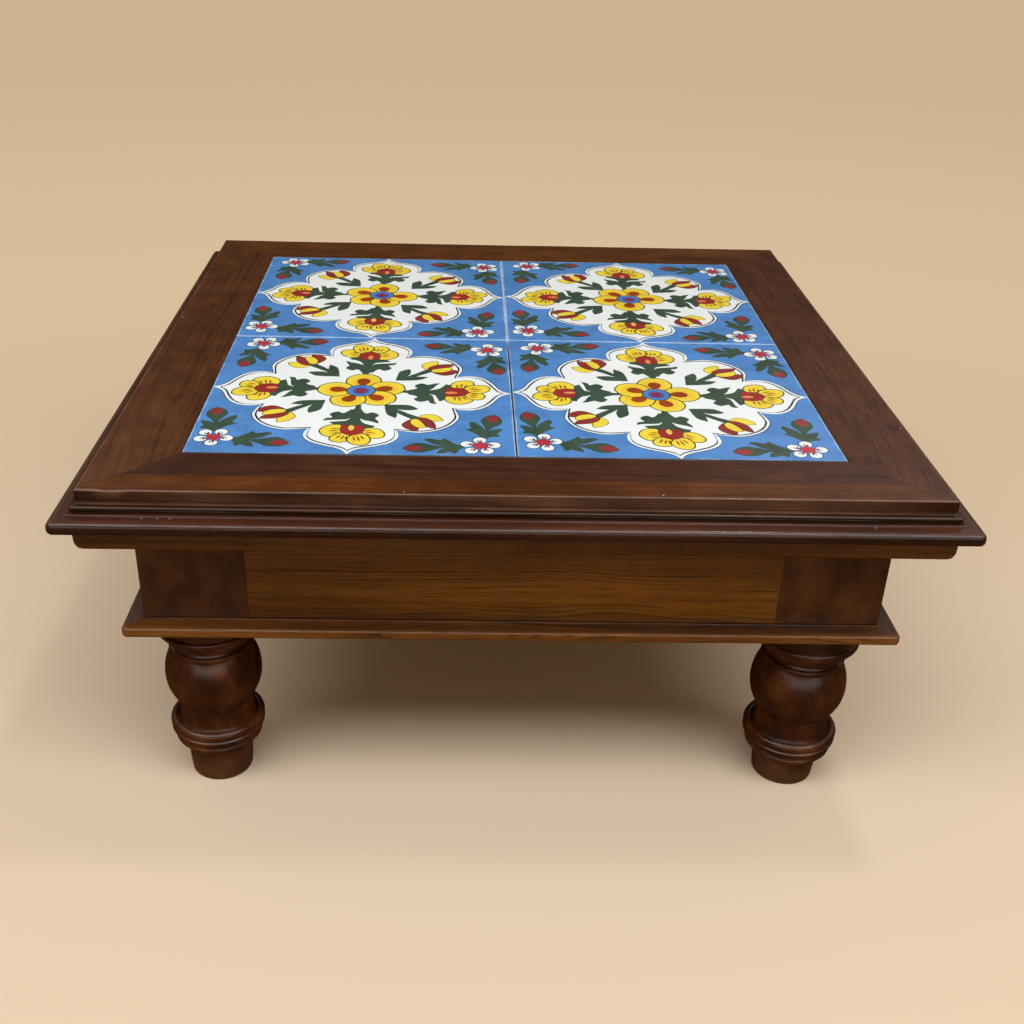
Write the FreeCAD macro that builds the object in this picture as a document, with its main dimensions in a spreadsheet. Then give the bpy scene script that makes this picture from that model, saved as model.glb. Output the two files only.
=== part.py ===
"""A low square table: a tiled top in a mitred hardwood frame, a stack of mouldings,
a shallow apron box with corner posts, and four turned legs.

The frame has +Z up and its origin on the floor, under the middle of the table.
-Y is the front.  Everything repeats by quarter turns, so each kind of piece is
drawn once, on the right side or in the front right corner, and then turned.
"""
import FreeCAD, Part
import math
import os
import Sketcher

doc = FreeCAD.newDocument("LowTable")
sheet = doc.addObject("Spreadsheet::Sheet", "Sizes")

# Driving dimensions in millimetres
SIZES = [
    # the tiles and what they lie on
    ("tile_side", 200.0, "side of one square tile"),
    ("tile_thickness", 8.0, "thickness of a tile with its glaze"),
    ("tile_arris", 0.9, "rounding of a tile's upper edges"),
    ("tile_joint", 1.6, "joint between two tiles"),
    ("tile_edge_gap", 1.0, "open gap between the tiles and the frame"),
    ("grout_recess", 0.5, "how far the filled joints lie below the tiles"),
    ("grout_loss", 4.5, "how deep the front joint is left open"),
    ("ply_ledge", 8.2, "how far the plywood board reaches under the rails"),
    ("ply_clearance", 0.3, "play of the plywood board in its opening"),
    # the frame round the tiles
    ("rail_width", 50.4, "width of a top rail"),
    ("rail_thickness", 12.7, "thickness of a top rail"),
    ("rail_edge_round", 1.2, "eased upper outer edge of a rail"),
    ("bead_radius", 3.5, "quarter round bead along the foot of a rail"),
    # the overhanging cornice
    ("cornice_reach", 14.8, "reach of the cornice beyond the rails"),
    ("cornice_thickness", 9.7, "thickness of the cornice boards"),
    ("cornice_fall", 1.5, "fall of the cornice's ledge to its nose"),
    ("nose_upper_round", 2.2, "rounding over the cornice's nose"),
    ("nose_lower_round", 4.5, "rounding under the cornice's nose"),
    # the ovolo moulding under the cornice
    ("ovolo_setback", 11.0, "how far the ovolo lies behind the cornice's nose"),
    ("ovolo_height", 15.7, "height of the ovolo moulding"),
    ("ovolo_round", 9.5, "quarter round of the ovolo's lower edge"),
    # the apron box
    ("apron_height", 77.4, "height of the aprons and corner posts"),
    ("apron_thickness", 19.0, "thickness of an apron"),
    ("post_side", 65.0, "side of a square corner post"),
    ("tenon_thickness", 8.0, "thickness of an apron's tenons"),
    ("tenon_length", 18.0, "length of an apron's tenons"),
    ("tenon_shoulder", 9.0, "shoulder above and below a tenon"),
    ("joint_clearance", 0.5, "glue room at the blind end of a joint"),
    ("cleat_side", 19.0, "side of the square cleats under the board"),
    ("cleat_gap", 2.0, "gap between a cleat's end and a post"),
    # the moulding under the apron box
    ("base_overhang", 11.8, "reach of the base moulding beyond the box"),
    ("base_lip", 3.2, "reach of the base moulding inside the corner posts"),
    ("base_thickness", 8.6, "thickness of the base moulding"),
    ("base_fall", 1.8, "fall of the base moulding's ledge to its nose"),
    ("base_round", 2.4, "rounding of the base moulding's nose"),
    # the turned legs
    ("leg_height", 132.0, "height of a leg from the floor to its shoulder"),
    ("leg_radius", 32.5, "radius that the leg's turning follows"),
    ("dowel_radius", 15.0, "radius of the round tenon on a leg"),
    ("dowel_bite", 41.0, "length of the round tenon inside a corner post"),
    ("dowel_chamfer", 1.5, "chamfer at the tip of the round tenon"),
    ("dowel_clearance", 0.2, "play round the tenon in the base moulding"),
    # hidden splines in the mitres
    ("spline_thickness", 3.0, "thickness of a mitre spline"),
    ("spline_width", 14.0, "width of a spline across its mitre"),
    ("spline_length", 36.0, "length of a spline along its mitre"),
    # screws and pins
    ("screw_radius", 1.9, "shank radius of a countersunk screw"),
    ("screw_head_radius", 4.0, "head radius of a countersunk screw"),
    ("screw_head_height", 2.6, "height of a countersunk head"),
    ("screw_tip", 3.0, "length of a screw's point"),
    ("screw_recess_radius", 1.5, "radius of the drive recess in a head"),
    ("screw_recess_depth", 1.6, "depth of the drive recess in a head"),
    ("frame_screw_bite", 7.5, "reach of the frame screws into a top rail"),
    ("frame_screw_offset", 120.0, "frame screws, each side of the middle"),
    ("cleat_screw_bite", 13.0, "reach of the cleat screws into an apron"),
    ("cleat_screw_offset", 112.0, "cleat screws, each side of the middle"),
    ("board_screw_bite", 6.0, "reach of the board screws into the board"),
    ("board_screw_offset", 60.0, "board screws, each side of the middle"),
    ("base_screw_bite", 22.0, "reach of the base screws into an apron"),
    ("base_screw_offset", 100.0, "base screws, each side of the middle"),
    ("pin_radius", 0.8, "radius of a moulding pin"),
    ("pin_bite", 11.0, "reach of the moulding pins into an apron"),
    ("pin_offset", 85.0, "moulding pins, each side of the middle"),
    # how far a cutting shape runs past what it cuts
    ("overrun", 5.0, "overrun of every cutting shape"),
]
for row, (alias, value, meaning) in enumerate(SIZES, start=1):
    sheet.set(f"A{row}", meaning)
    sheet.set(f"B{row}", str(value))
    sheet.setAlias(f"B{row}", alias)
doc.recompute()

# Every driving dimension as an expression on the sheet, by its name
S = {alias: f"Sizes.{alias}" for alias, value, meaning in SIZES}

# Half widths, measured outwards from the middle of the table
TILES_HALF = f"({S['tile_side']} + {S['tile_joint']} / 2)"
FIELD_HALF = f"({TILES_HALF} + {S['tile_edge_gap']})"
RAIL_HALF = f"({FIELD_HALF} + {S['rail_width']})"
BEAD_HALF = f"({RAIL_HALF} + {S['bead_radius']})"
CORNICE_HALF = f"({RAIL_HALF} + {S['cornice_reach']})"
OVOLO_HALF = f"({CORNICE_HALF} - {S['ovolo_setback']})"
APRON_INNER = f"({FIELD_HALF} + {S['ply_ledge']})"
APRON_MIDDLE = f"({APRON_INNER} + {S['apron_thickness']} / 2)"
BOX_HALF = f"({APRON_INNER} + {S['apron_thickness']})"
POST_INNER = f"({BOX_HALF} - {S['post_side']})"
LEG_OFFSET = f"({BOX_HALF} - {S['post_side']} / 2)"
BASE_HALF = f"({BOX_HALF} + {S['base_overhang']})"
BASE_INNER = f"({POST_INNER} - {S['base_lip']})"
PLY_HALF = f"({APRON_INNER} - {S['ply_clearance']})"
CLEAT_INNER = f"({APRON_INNER} - {S['cleat_side']})"

# Heights above the floor
BASE_BOTTOM = S["leg_height"]
BOX_BOTTOM = f"({BASE_BOTTOM} + {S['base_thickness']})"
BOX_TOP = f"({BOX_BOTTOM} + {S['apron_height']})"
CORNICE_TOP = f"({BOX_TOP} + {S['cornice_thickness']})"
TABLE_TOP = f"({CORNICE_TOP} + {S['rail_thickness']})"
TILE_BOTTOM = f"({TABLE_TOP} - {S['tile_thickness']})"
OVOLO_BOTTOM = f"({BOX_TOP} - {S['ovolo_height']})"
CLEAT_BOTTOM = f"({BOX_TOP} - {S['cleat_side']})"

# The four sides and the four corners, each a quarter turn on from the one before it
SIDES = ["right", "back", "left", "front"]
CORNERS = ["front_right", "back_right", "back_left", "front_left"]
QUARTER = 90.0
FULL_TURN = 360.0

# Outline of a leg from the floor up: radius as a share of leg_radius, height as a
# share of leg_height, and how far the stretch that leads there bows out (+) or in (-),
# as a share of its own length
LEG_OUTLINE_SHARES = [
    (0.594, 0.000, 0.0),    # underside
    (0.634, 0.010, 0.15),   # eased lower edge
    (0.695, 0.150, 0.0),    # tapering foot
    (0.765, 0.156, 0.0),    # lip under the cone
    (0.920, 0.228, -0.06),  # hollow cone
    (0.942, 0.233, 0.0),    # fillet
    (0.962, 0.277, 0.05),   # band
    (0.980, 0.281, 0.0),    # lip under the saucer
    (0.806, 0.318, 0.26),   # rounded saucer
    (0.775, 0.315, 0.0),    # crease at the neck
    (0.766, 0.352, 0.0),    # neck
    (0.874, 0.452, -0.06),  # swelling out of the neck
    (0.797, 0.733, 0.145),  # ball
    (0.794, 0.738, 0.0),    # crease over the ball
    (0.786, 0.760, 0.30),   # ring on the ball
    (0.757, 0.765, 0.0),    # bottom of the cove
    (0.868, 0.803, -0.18),  # cove
    (0.878, 0.812, 0.0),    # fillet
    (0.978, 0.833, -0.12),  # small hollow
    (0.990, 0.894, 0.32),   # bead
    (1.034, 0.901, 0.0),    # crease under the collar
    (1.040, 0.907, 0.20),   # eased edge of the collar
    (1.040, 0.992, 0.0),    # collar
    (1.028, 1.000, 0.0),    # eased shoulder
]


def size(expression):
    """The number that an expression on the sheet has now."""
    return float(sheet.evalExpression(str(expression)))


def origin_plane(body, role):
    """One of a body's own origin planes or axes."""
    return next(feature for feature in body.Origin.OriginFeatures if feature.Role == role)


def new_body(label, turns=0):
    """An empty body, turned about the middle of the table by quarter turns."""
    body = doc.addObject("PartDesign::Body", label)
    body.Label = label
    turn = FreeCAD.Rotation(FreeCAD.Vector(0, 0, 1), QUARTER * turns)
    body.Placement = FreeCAD.Placement(FreeCAD.Vector(0, 0, 0), turn)
    return body


def new_sketch(body, plane, offset="0", angle=0.0):
    """A sketch on one of the body's planes, moved off it along the plane's normal."""
    sketch = body.newObject("Sketcher::SketchObject", f"{body.Label}_outline")
    sketch.AttachmentSupport = [(origin_plane(body, plane), "")]
    sketch.MapMode = "FlatFace"
    turn = FreeCAD.Rotation(FreeCAD.Vector(0, 0, 1), angle)
    sketch.AttachmentOffset = FreeCAD.Placement(FreeCAD.Vector(0, 0, size(offset)), turn)
    if offset != "0":
        sketch.setExpression("AttachmentOffset.Base.z", offset)
    return sketch


def pin_point(sketch, edge, corner, point):
    """Tie a point of an edge (1 its start, 2 its end, 3 its centre) to its place, by an
    expression for each direction, or onto the axis where the expression is a plain 0."""
    for kind, expression, axis in (("DistanceX", point[0], -2), ("DistanceY", point[1], -1)):
        if expression == "0":
            sketch.addConstraint(Sketcher.Constraint("PointOnObject", edge, corner, axis))
            continue
        place = Sketcher.Constraint(kind, -1, 1, edge, corner, size(expression))
        index = sketch.addConstraint(place)
        sketch.setExpression(f"Constraints[{index}]", expression)


def is_arc(point):
    """Whether an arc leads to this point of an outline, not a straight line."""
    return len(point) > 2


def draw_loop(sketch, points):
    """Add a closed loop.  A point is (x, y), or (x, y, radius, side) where an arc leads
    to it: side is +1 where the arc bows to the right of its way, and -1 to the left."""
    places = [FreeCAD.Vector(size(point[0]), size(point[1]), 0) for point in points]
    edges = []
    for here in range(len(points)):
        after = (here + 1) % len(points)
        start = places[here]
        end = places[after]
        if not is_arc(points[after]):
            edges.append(sketch.addGeometry(Part.LineSegment(start, end), False))
            continue
        radius = size(points[after][2])
        chord = end - start
        half = chord.Length / 2
        rise = radius - math.sqrt(max(radius ** 2 - half ** 2, 0))
        right = FreeCAD.Vector(chord.y, -chord.x, 0).normalize()
        middle = (start + end) / 2 + right * rise * points[after][3]
        edges.append(sketch.addGeometry(Part.Arc(start, middle, end), False))
    ends = []
    for here, edge in enumerate(edges):
        after = (here + 1) % len(points)
        bows_left = is_arc(points[after]) and points[after][3] < 0
        ends.append((2, 1) if bows_left else (1, 2))
    for here, edge in enumerate(edges):
        after = (here + 1) % len(points)
        joint = Sketcher.Constraint("Coincident", edge, ends[here][1], edges[after], ends[after][0])
        sketch.addConstraint(joint)
        pin_point(sketch, edge, ends[here][0], points[here])
        if is_arc(points[after]):
            bend = Sketcher.Constraint("Radius", edge, size(points[after][2]))
            index = sketch.addConstraint(bend)
            sketch.setExpression(f"Constraints[{index}]", points[after][2])


def rectangle(x_low, x_high, y_low, y_high):
    """The four corners of an upright rectangle."""
    return [(x_low, y_low), (x_high, y_low), (x_high, y_high), (x_low, y_high)]


def pad(body, sketch, length, both_ways=False):
    """Give a sketch its thickness, upwards or outwards, or to both sides alike."""
    feature = body.newObject("PartDesign::Pad", f"{body.Label}_pad")
    feature.Profile = sketch
    feature.setExpression("Length", length)
    if both_ways:
        feature.SideType = "Symmetric"
    doc.recompute()
    return feature


def pocket(body, sketch, depth, both_ways=False, reverse=False):
    """Cut a sketch out of the body, and stop if nothing was cut."""
    before = body.Shape.Volume
    feature = body.newObject("PartDesign::Pocket", f"{body.Label}_pocket")
    feature.Profile = sketch
    feature.setExpression("Length", depth)
    feature.Reversed = reverse
    if both_ways:
        feature.SideType = "Symmetric"
    doc.recompute()
    if not body.Shape.Volume < before:
        raise RuntimeError(f"a cut in {body.Label} removed nothing")
    return feature


def mitred_board(label, turns, outline):
    """A board along one side: its section drawn at the right, its ends mitred."""
    body = new_body(label, turns)
    section = new_sketch(body, "XZ_Plane")
    draw_loop(section, outline)
    pad(body, section, f"2 * {CORNICE_HALF}", both_ways=True)
    ends = new_sketch(body, "XY_Plane")
    far = f"({CORNICE_HALF} + {S['overrun']})"
    near = S["overrun"]
    draw_loop(ends, [(near, near), (far, far), (near, far)])
    draw_loop(ends, [(near, f"-{near}"), (near, f"-{far}"), (far, f"-{far}")])
    pocket(body, ends, f"2 * ({TABLE_TOP} + {S['overrun']})", both_ways=True)
    return body


def rail_outline():
    """Section of a top rail: an eased edge, a straight face and a bead along its foot."""
    face_foot = f"({CORNICE_TOP} + {S['bead_radius']})"
    eased = S["rail_edge_round"]
    return [
        (FIELD_HALF, CORNICE_TOP),
        (BEAD_HALF, CORNICE_TOP),
        (RAIL_HALF, face_foot, S["bead_radius"], 1),
        (RAIL_HALF, f"({TABLE_TOP} - {eased})"),
        (f"({RAIL_HALF} - {eased})", TABLE_TOP, eased, 1),
        (FIELD_HALF, TABLE_TOP),
    ]


def cornice_outline():
    """Section of a cornice board: a ledge that falls to a rounded nose."""
    upper = S["nose_upper_round"]
    lower = S["nose_lower_round"]
    nose_top = f"({CORNICE_TOP} - {S['cornice_fall']})"
    return [
        (APRON_INNER, BOX_TOP),
        (f"({CORNICE_HALF} - {lower})", BOX_TOP),
        (CORNICE_HALF, f"({BOX_TOP} + {lower})", lower, 1),
        (CORNICE_HALF, f"({nose_top} - {upper})"),
        (f"({CORNICE_HALF} - {upper})", nose_top, upper, 1),
        (BEAD_HALF, CORNICE_TOP),
        (APRON_INNER, CORNICE_TOP),
    ]


def ovolo_outline():
    """Section of the ovolo moulding: a square with its lower outer edge rounded."""
    rounding = S["ovolo_round"]
    return [
        (BOX_HALF, OVOLO_BOTTOM),
        (f"({OVOLO_HALF} - {rounding})", OVOLO_BOTTOM),
        (OVOLO_HALF, f"({OVOLO_BOTTOM} + {rounding})", rounding, 1),
        (OVOLO_HALF, BOX_TOP),
        (BOX_HALF, BOX_TOP),
    ]


def base_outline():
    """Section of the base moulding: a ledge that falls to a rounded nose."""
    rounding = S["base_round"]
    nose_top = f"({BOX_BOTTOM} - {S['base_fall']})"
    return [
        (BASE_INNER, BASE_BOTTOM),
        (f"({BASE_HALF} - {rounding})", BASE_BOTTOM),
        (BASE_HALF, f"({BASE_BOTTOM} + {rounding})", rounding, 1),
        (BASE_HALF, f"({nose_top} - {rounding})"),
        (f"({BASE_HALF} - {rounding})", nose_top, rounding, 1),
        (BOX_HALF, BOX_BOTTOM),
        (BASE_INNER, BOX_BOTTOM),
    ]


def base_board(label, turns):
    """A board of the base moulding, notched at both mitres for the legs' tenons."""
    body = mitred_board(label, turns, base_outline())
    notch_radius = f"({S['dowel_radius']} + {S['dowel_clearance']})"
    for sign in ("", "-"):
        notch = new_sketch(body, "XY_Plane", BASE_BOTTOM)
        add_circle(notch, LEG_OFFSET, f"{sign}{LEG_OFFSET}", notch_radius)
        pocket(body, notch, f"2 * {S['base_thickness']} + {S['overrun']}", both_ways=True)
    return body


def add_circle(sketch, x, y, radius):
    """A circle whose centre and radius follow the sheet."""
    centre = FreeCAD.Vector(size(x), size(y), 0)
    ring = Part.Circle(centre, FreeCAD.Vector(0, 0, 1), size(radius))
    edge = sketch.addGeometry(ring, False)
    pin_point(sketch, edge, 3, (x, y))
    index = sketch.addConstraint(Sketcher.Constraint("Radius", edge, size(radius)))
    sketch.setExpression(f"Constraints[{index}]", radius)


def apron(label, turns):
    """An apron board with a tenon at each end, between two corner posts."""
    body = new_body(label, turns)
    board = new_sketch(body, "XZ_Plane")
    draw_loop(board, rectangle(APRON_INNER, BOX_HALF, BOX_BOTTOM, BOX_TOP))
    pad(body, board, f"2 * {POST_INNER}", both_ways=True)
    tongue = new_sketch(body, "XZ_Plane")
    half = f"{S['tenon_thickness']} / 2"
    shoulder = S["tenon_shoulder"]
    draw_loop(tongue, rectangle(
        f"({APRON_MIDDLE} - {half})", f"({APRON_MIDDLE} + {half})",
        f"({BOX_BOTTOM} + {shoulder})", f"({BOX_TOP} - {shoulder})"))
    pad(body, tongue, f"2 * ({POST_INNER} + {S['tenon_length']})", both_ways=True)
    return body


def corner_post(label, turns):
    """A square post with two mortises for the aprons and a socket for the leg."""
    body = new_body(label, turns)
    square = new_sketch(body, "XY_Plane", BOX_BOTTOM)
    draw_loop(square, rectangle(POST_INNER, BOX_HALF, f"-{BOX_HALF}", f"-{POST_INNER}"))
    pad(body, square, S["apron_height"])
    half = f"{S['tenon_thickness']} / 2"
    low = f"({BOX_BOTTOM} + {S['tenon_shoulder']})"
    high = f"({BOX_TOP} - {S['tenon_shoulder']})"
    depth = f"{S['tenon_length']} + {S['joint_clearance']}"
    side_mortise = new_sketch(body, "XZ_Plane", POST_INNER)
    draw_loop(side_mortise, rectangle(
        f"({APRON_MIDDLE} - {half})", f"({APRON_MIDDLE} + {half})", low, high))
    pocket(body, side_mortise, depth, reverse=True)
    front_mortise = new_sketch(body, "YZ_Plane", POST_INNER)
    draw_loop(front_mortise, rectangle(
        f"-({APRON_MIDDLE} + {half})", f"-({APRON_MIDDLE} - {half})", low, high))
    pocket(body, front_mortise, depth, reverse=True)
    socket = new_sketch(body, "XY_Plane", BOX_BOTTOM)
    add_circle(socket, LEG_OFFSET, f"-{LEG_OFFSET}", S["dowel_radius"])
    bored = f"{S['dowel_bite']} + {S['joint_clearance']}"
    pocket(body, socket, bored, reverse=True)
    return body


def leg(label, turns):
    """A leg turned in one piece with the round tenon on its top."""
    body = new_body(label, turns)
    outline = [("0", "0")]
    radius_unit = S["leg_radius"]
    height_unit = S["leg_height"]
    before = None
    for radius_share, height_share, bow_share in LEG_OUTLINE_SHARES:
        point = [f"({radius_share} * {radius_unit})", f"({height_share} * {height_unit})"]
        if height_share == 0:
            point[1] = "0"
        if bow_share:
            run = f"({radius_share - before[0]} * {radius_unit}) ^ 2"
            rise = f"({height_share - before[1]} * {height_unit}) ^ 2"
            bend = (1 + 4 * bow_share ** 2) / (8 * abs(bow_share))
            point += [f"sqrt({run} + {rise}) * {bend}", 1 if bow_share > 0 else -1]
        outline.append(tuple(point))
        before = (radius_share, height_share)
    tip = f"({BOX_BOTTOM} + {S['dowel_bite']})"
    outline += [
        (S["dowel_radius"], BASE_BOTTOM),
        (S["dowel_radius"], f"({tip} - {S['dowel_chamfer']})"),
        (f"({S['dowel_radius']} - {S['dowel_chamfer']})", tip),
        ("0", tip),
    ]
    profile = new_sketch(body, "XZ_Plane")
    draw_loop(profile, outline)
    turning = body.newObject("PartDesign::Revolution", f"{label}_turning")
    turning.Profile = profile
    turning.ReferenceAxis = (origin_plane(body, "Z_Axis"), [""])
    turning.Angle = FULL_TURN
    corner = FreeCAD.Rotation(FreeCAD.Vector(0, 0, 1), QUARTER * turns).multVec(FreeCAD.Vector(1, -1, 0))
    body.setExpression("Placement.Base.x", f"{round(corner.x)} * {LEG_OFFSET}")
    body.setExpression("Placement.Base.y", f"{round(corner.y)} * {LEG_OFFSET}")
    doc.recompute()
    return body


def tile(label, turns):
    """One square tile with softly rounded upper edges."""
    body = new_body(label, turns)
    near = f"({S['tile_joint']} / 2)"
    far = TILES_HALF
    square = new_sketch(body, "XY_Plane", TILE_BOTTOM)
    draw_loop(square, rectangle(near, far, f"-{far}", f"-{near}"))
    block = pad(body, square, S["tile_thickness"])
    top = size(TABLE_TOP)
    edges = [
        f"Edge{number}" for number, edge in enumerate(block.Shape.Edges, start=1)
        if all(abs(vertex.Z - top) < size(S["tile_arris"]) / 2 for vertex in edge.Vertexes)
    ]
    rounding = body.newObject("PartDesign::Fillet", f"{label}_arris")
    rounding.Base = (block, edges)
    rounding.setExpression("Radius", S["tile_arris"])
    doc.recompute()
    return body


def box_between(name, low, high):
    """A box between two corners, both given as expressions."""
    box = doc.addObject("Part::Box", name)
    for axis, edge in enumerate(("Length", "Width", "Height")):
        box.setExpression(edge, f"{high[axis]} - {low[axis]}")
        box.setExpression(f"Placement.Base.{'xyz'[axis]}", low[axis])
    return box


def grout():
    """The joint filling: a cross, which has fallen away in the joint at the front."""
    half = f"({S['tile_joint']} / 2)"
    end = TILES_HALF
    filled = f"({TABLE_TOP} - {S['grout_recess']})"
    worn = f"({TABLE_TOP} - {S['grout_loss']})"
    across = box_between("grout_across", (f"-{end}", f"-{half}", TILE_BOTTOM), (end, half, filled))
    behind = box_between("grout_behind", (f"-{half}", f"-{half}", TILE_BOTTOM), (half, end, filled))
    before = box_between("grout_before", (f"-{half}", f"-{end}", TILE_BOTTOM), (half, half, worn))
    cross = doc.addObject("Part::MultiFuse", "tile_grout")
    cross.Shapes = [across, behind, before]
    cross.Label = "tile_grout"
    return cross


def sheet_of(label, half, low, high):
    """A square sheet centred on the table."""
    sheet_box = box_between(label, (f"-{half}", f"-{half}", low), (half, half, high))
    sheet_box.Label = label
    return sheet_box


def cleat(label, turns):
    """A square batten on an apron's inner face that carries the plywood board."""
    body = new_body(label, turns)
    section = new_sketch(body, "XZ_Plane")
    draw_loop(section, rectangle(CLEAT_INNER, APRON_INNER, CLEAT_BOTTOM, BOX_TOP))
    pad(body, section, f"2 * ({POST_INNER} - {S['cleat_gap']})", both_ways=True)
    return body


def splines(label, middle, height):
    """Four tongues, one hidden in each mitre of a frame."""
    body = new_body(label)
    body.AllowCompound = True
    tongue = new_sketch(body, "XY_Plane", f"({height} - {S['spline_thickness']} / 2)", QUARTER / 2)
    centre = f"{middle} * sqrt(2)"
    half_length = f"{S['spline_length']} / 2"
    half_width = f"({S['spline_width']} / 2)"
    draw_loop(tongue, rectangle(
        f"({centre} - {half_length})", f"({centre} + {half_length})", f"-{half_width}", half_width))
    first = pad(body, tongue, S["spline_thickness"])
    repeat_round(body, [first])
    return body


def repeat_round(body, features):
    """Repeat features on the four sides of the table."""
    pattern = body.newObject("PartDesign::PolarPattern", f"{body.Label}_sides")
    pattern.Originals = features
    pattern.Axis = (origin_plane(body, "Z_Axis"), [""])
    pattern.Angle = FULL_TURN
    pattern.Occurrences = len(SIDES)
    body.Tip = pattern
    doc.recompute()


def fasteners(label, outline, offset):
    """Eight turned fasteners, two to a side.  The outline is drawn at the right, with
    its first stretch on the fastener's own axis."""
    body = new_body(label)
    body.AllowCompound = True
    turned = []
    for sign in ("", "-"):
        profile = new_sketch(body, "XZ_Plane", f"{sign}{offset}")
        draw_loop(profile, outline)
        shank = body.newObject("PartDesign::Revolution", f"{label}_turning")
        shank.Profile = profile
        shank.ReferenceAxis = (profile, ["Edge1"])
        shank.Angle = FULL_TURN
        doc.recompute()
        turned.append(shank)
    repeat_round(body, turned)
    return body


def screws(label, head_x, head_z, length, offset, upright):
    """Eight countersunk screws with their heads at a point, going up or outwards, and
    the plain shape of their seats, which has no drive recess."""
    shank = [
        (f"({length} - {S['screw_tip']})", S["screw_radius"]),
        (S["screw_head_height"], S["screw_radius"]),
        ("0", S["screw_head_radius"]),
    ]
    recess = [("0", S["screw_recess_radius"])]
    whole = [(S["screw_recess_depth"], "0"), (length, "0")] + shank + recess
    plain = [("0", "0"), (length, "0")] + shank
    made = fasteners(label, on_axis(head_x, head_z, whole, upright), offset)
    seats = fasteners(f"{label}_seats", on_axis(head_x, head_z, plain, upright), offset)
    return made, seats


def on_axis(head_x, head_z, rows, upright=False):
    """Points given along a fastener's axis and out from it, placed in the drawing."""
    if upright:
        return [(f"({head_x} + {out})", f"({head_z} + {along})") for along, out in rows]
    return [(f"({head_x} + {along})", f"({head_z} + {out})") for along, out in rows]


def cut(blank, tools, label):
    """A wooden piece with the seats of its splines, screws and pins cut out of it."""
    blank.Label = f"{label}_blank"
    seats = doc.addObject("Part::Compound", f"{label}_seats")
    seats.Links = tools
    piece = doc.addObject("Part::Cut", label)
    piece.Base = blank
    piece.Tool = seats
    piece.Label = label
    return piece


# Splines, screws and pins come first, because the boards are cut to them
RAIL_MIDDLE = f"(({FIELD_HALF} + {RAIL_HALF}) / 2)"
CORNICE_MIDDLE = f"(({APRON_INNER} + {CORNICE_HALF}) / 2)"
CLEAT_CENTRE = f"(({CLEAT_INNER} + {APRON_INNER}) / 2)"
RAIL_SPLINE_HEIGHT = f"(({CORNICE_TOP} + {TABLE_TOP}) / 2)"
CORNICE_SPLINE_HEIGHT = f"(({BOX_TOP} + {CORNICE_TOP}) / 2)"
CLEAT_SCREW_HEIGHT = f"(({CLEAT_BOTTOM} + {BOX_TOP}) / 2)"
PIN_HEIGHT = f"(({OVOLO_BOTTOM} + {S['ovolo_round']} + {BOX_TOP}) / 2)"
PIN_LENGTH = f"({OVOLO_HALF} - {BOX_HALF} + {S['pin_bite']})"

rail_splines = splines("top_frame_splines", RAIL_MIDDLE, RAIL_SPLINE_HEIGHT)
cornice_splines = splines("cornice_splines", CORNICE_MIDDLE, CORNICE_SPLINE_HEIGHT)
frame_screws, frame_seats = screws(
    "top_frame_screws", RAIL_MIDDLE, BOX_TOP,
    f"({S['cornice_thickness']} + {S['frame_screw_bite']})", S["frame_screw_offset"], upright=True)
cleat_screws, cleat_seats = screws(
    "cleat_screws", CLEAT_INNER, CLEAT_SCREW_HEIGHT,
    f"({S['cleat_side']} + {S['cleat_screw_bite']})", S["cleat_screw_offset"], upright=False)
board_screws, board_seats = screws(
    "board_screws", CLEAT_CENTRE, CLEAT_BOTTOM,
    f"({S['cleat_side']} + {S['board_screw_bite']})", S["board_screw_offset"], upright=True)
base_screws, base_seats = screws(
    "base_screws", APRON_MIDDLE, BASE_BOTTOM,
    f"({S['base_thickness']} + {S['base_screw_bite']})", S["base_screw_offset"], upright=True)
pin_rows = [("0", "0"), (f"-{PIN_LENGTH}", "0"), (f"-{PIN_LENGTH}", S["pin_radius"]), ("0", S["pin_radius"])]
pins = fasteners("ovolo_pins", on_axis(OVOLO_HALF, PIN_HEIGHT, pin_rows), S["pin_offset"])

pieces = [rail_splines, cornice_splines, frame_screws, cleat_screws, board_screws, base_screws, pins]

# Boards, mouldings and cleats, one to a side
for turns, side in enumerate(SIDES):
    rail = mitred_board(f"top_rail_{side}_board", turns, rail_outline())
    pieces.append(cut(rail, [rail_splines, frame_seats], f"top_rail_{side}"))
    cornice = mitred_board(f"cornice_{side}_board", turns, cornice_outline())
    pieces.append(cut(cornice, [cornice_splines, frame_seats], f"cornice_{side}"))
    ovolo = mitred_board(f"ovolo_moulding_{side}_board", turns, ovolo_outline())
    pieces.append(cut(ovolo, [pins], f"ovolo_moulding_{side}"))
    base = base_board(f"base_moulding_{side}_board", turns)
    pieces.append(cut(base, [base_seats], f"base_moulding_{side}"))
    board = apron(f"apron_{side}_board", turns)
    pieces.append(cut(board, [cleat_seats, base_seats, pins], f"apron_{side}"))
    batten = cleat(f"cleat_{side}_board", turns)
    pieces.append(cut(batten, [cleat_seats, board_seats], f"cleat_{side}"))

# Posts, legs and tiles, one to a corner
for turns, corner in enumerate(CORNERS):
    pieces.append(corner_post(f"corner_post_{corner}", turns))
    pieces.append(leg(f"leg_{corner}", turns))
    pieces.append(tile(f"tile_{corner}", turns))

# What lies under and between the tiles
pieces.append(grout())
pieces.append(sheet_of("tile_adhesive", TILES_HALF, CORNICE_TOP, TILE_BOTTOM))
plywood = sheet_of("tile_board_sheet", PLY_HALF, BOX_TOP, CORNICE_TOP)
pieces.append(cut(plywood, [board_seats], "tile_board"))

doc.recompute()

# Check every object before anything is written
for thing in doc.Objects:
    if "Invalid" in thing.State or "Error" in thing.State:
        raise RuntimeError(f"{thing.Label} failed: {thing.State}")
for piece in pieces:
    if piece.Shape.isNull() or not piece.Shape.isValid() or not piece.Shape.Solids:
        raise RuntimeError(f"{piece.Label} has no valid solid")

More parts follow.
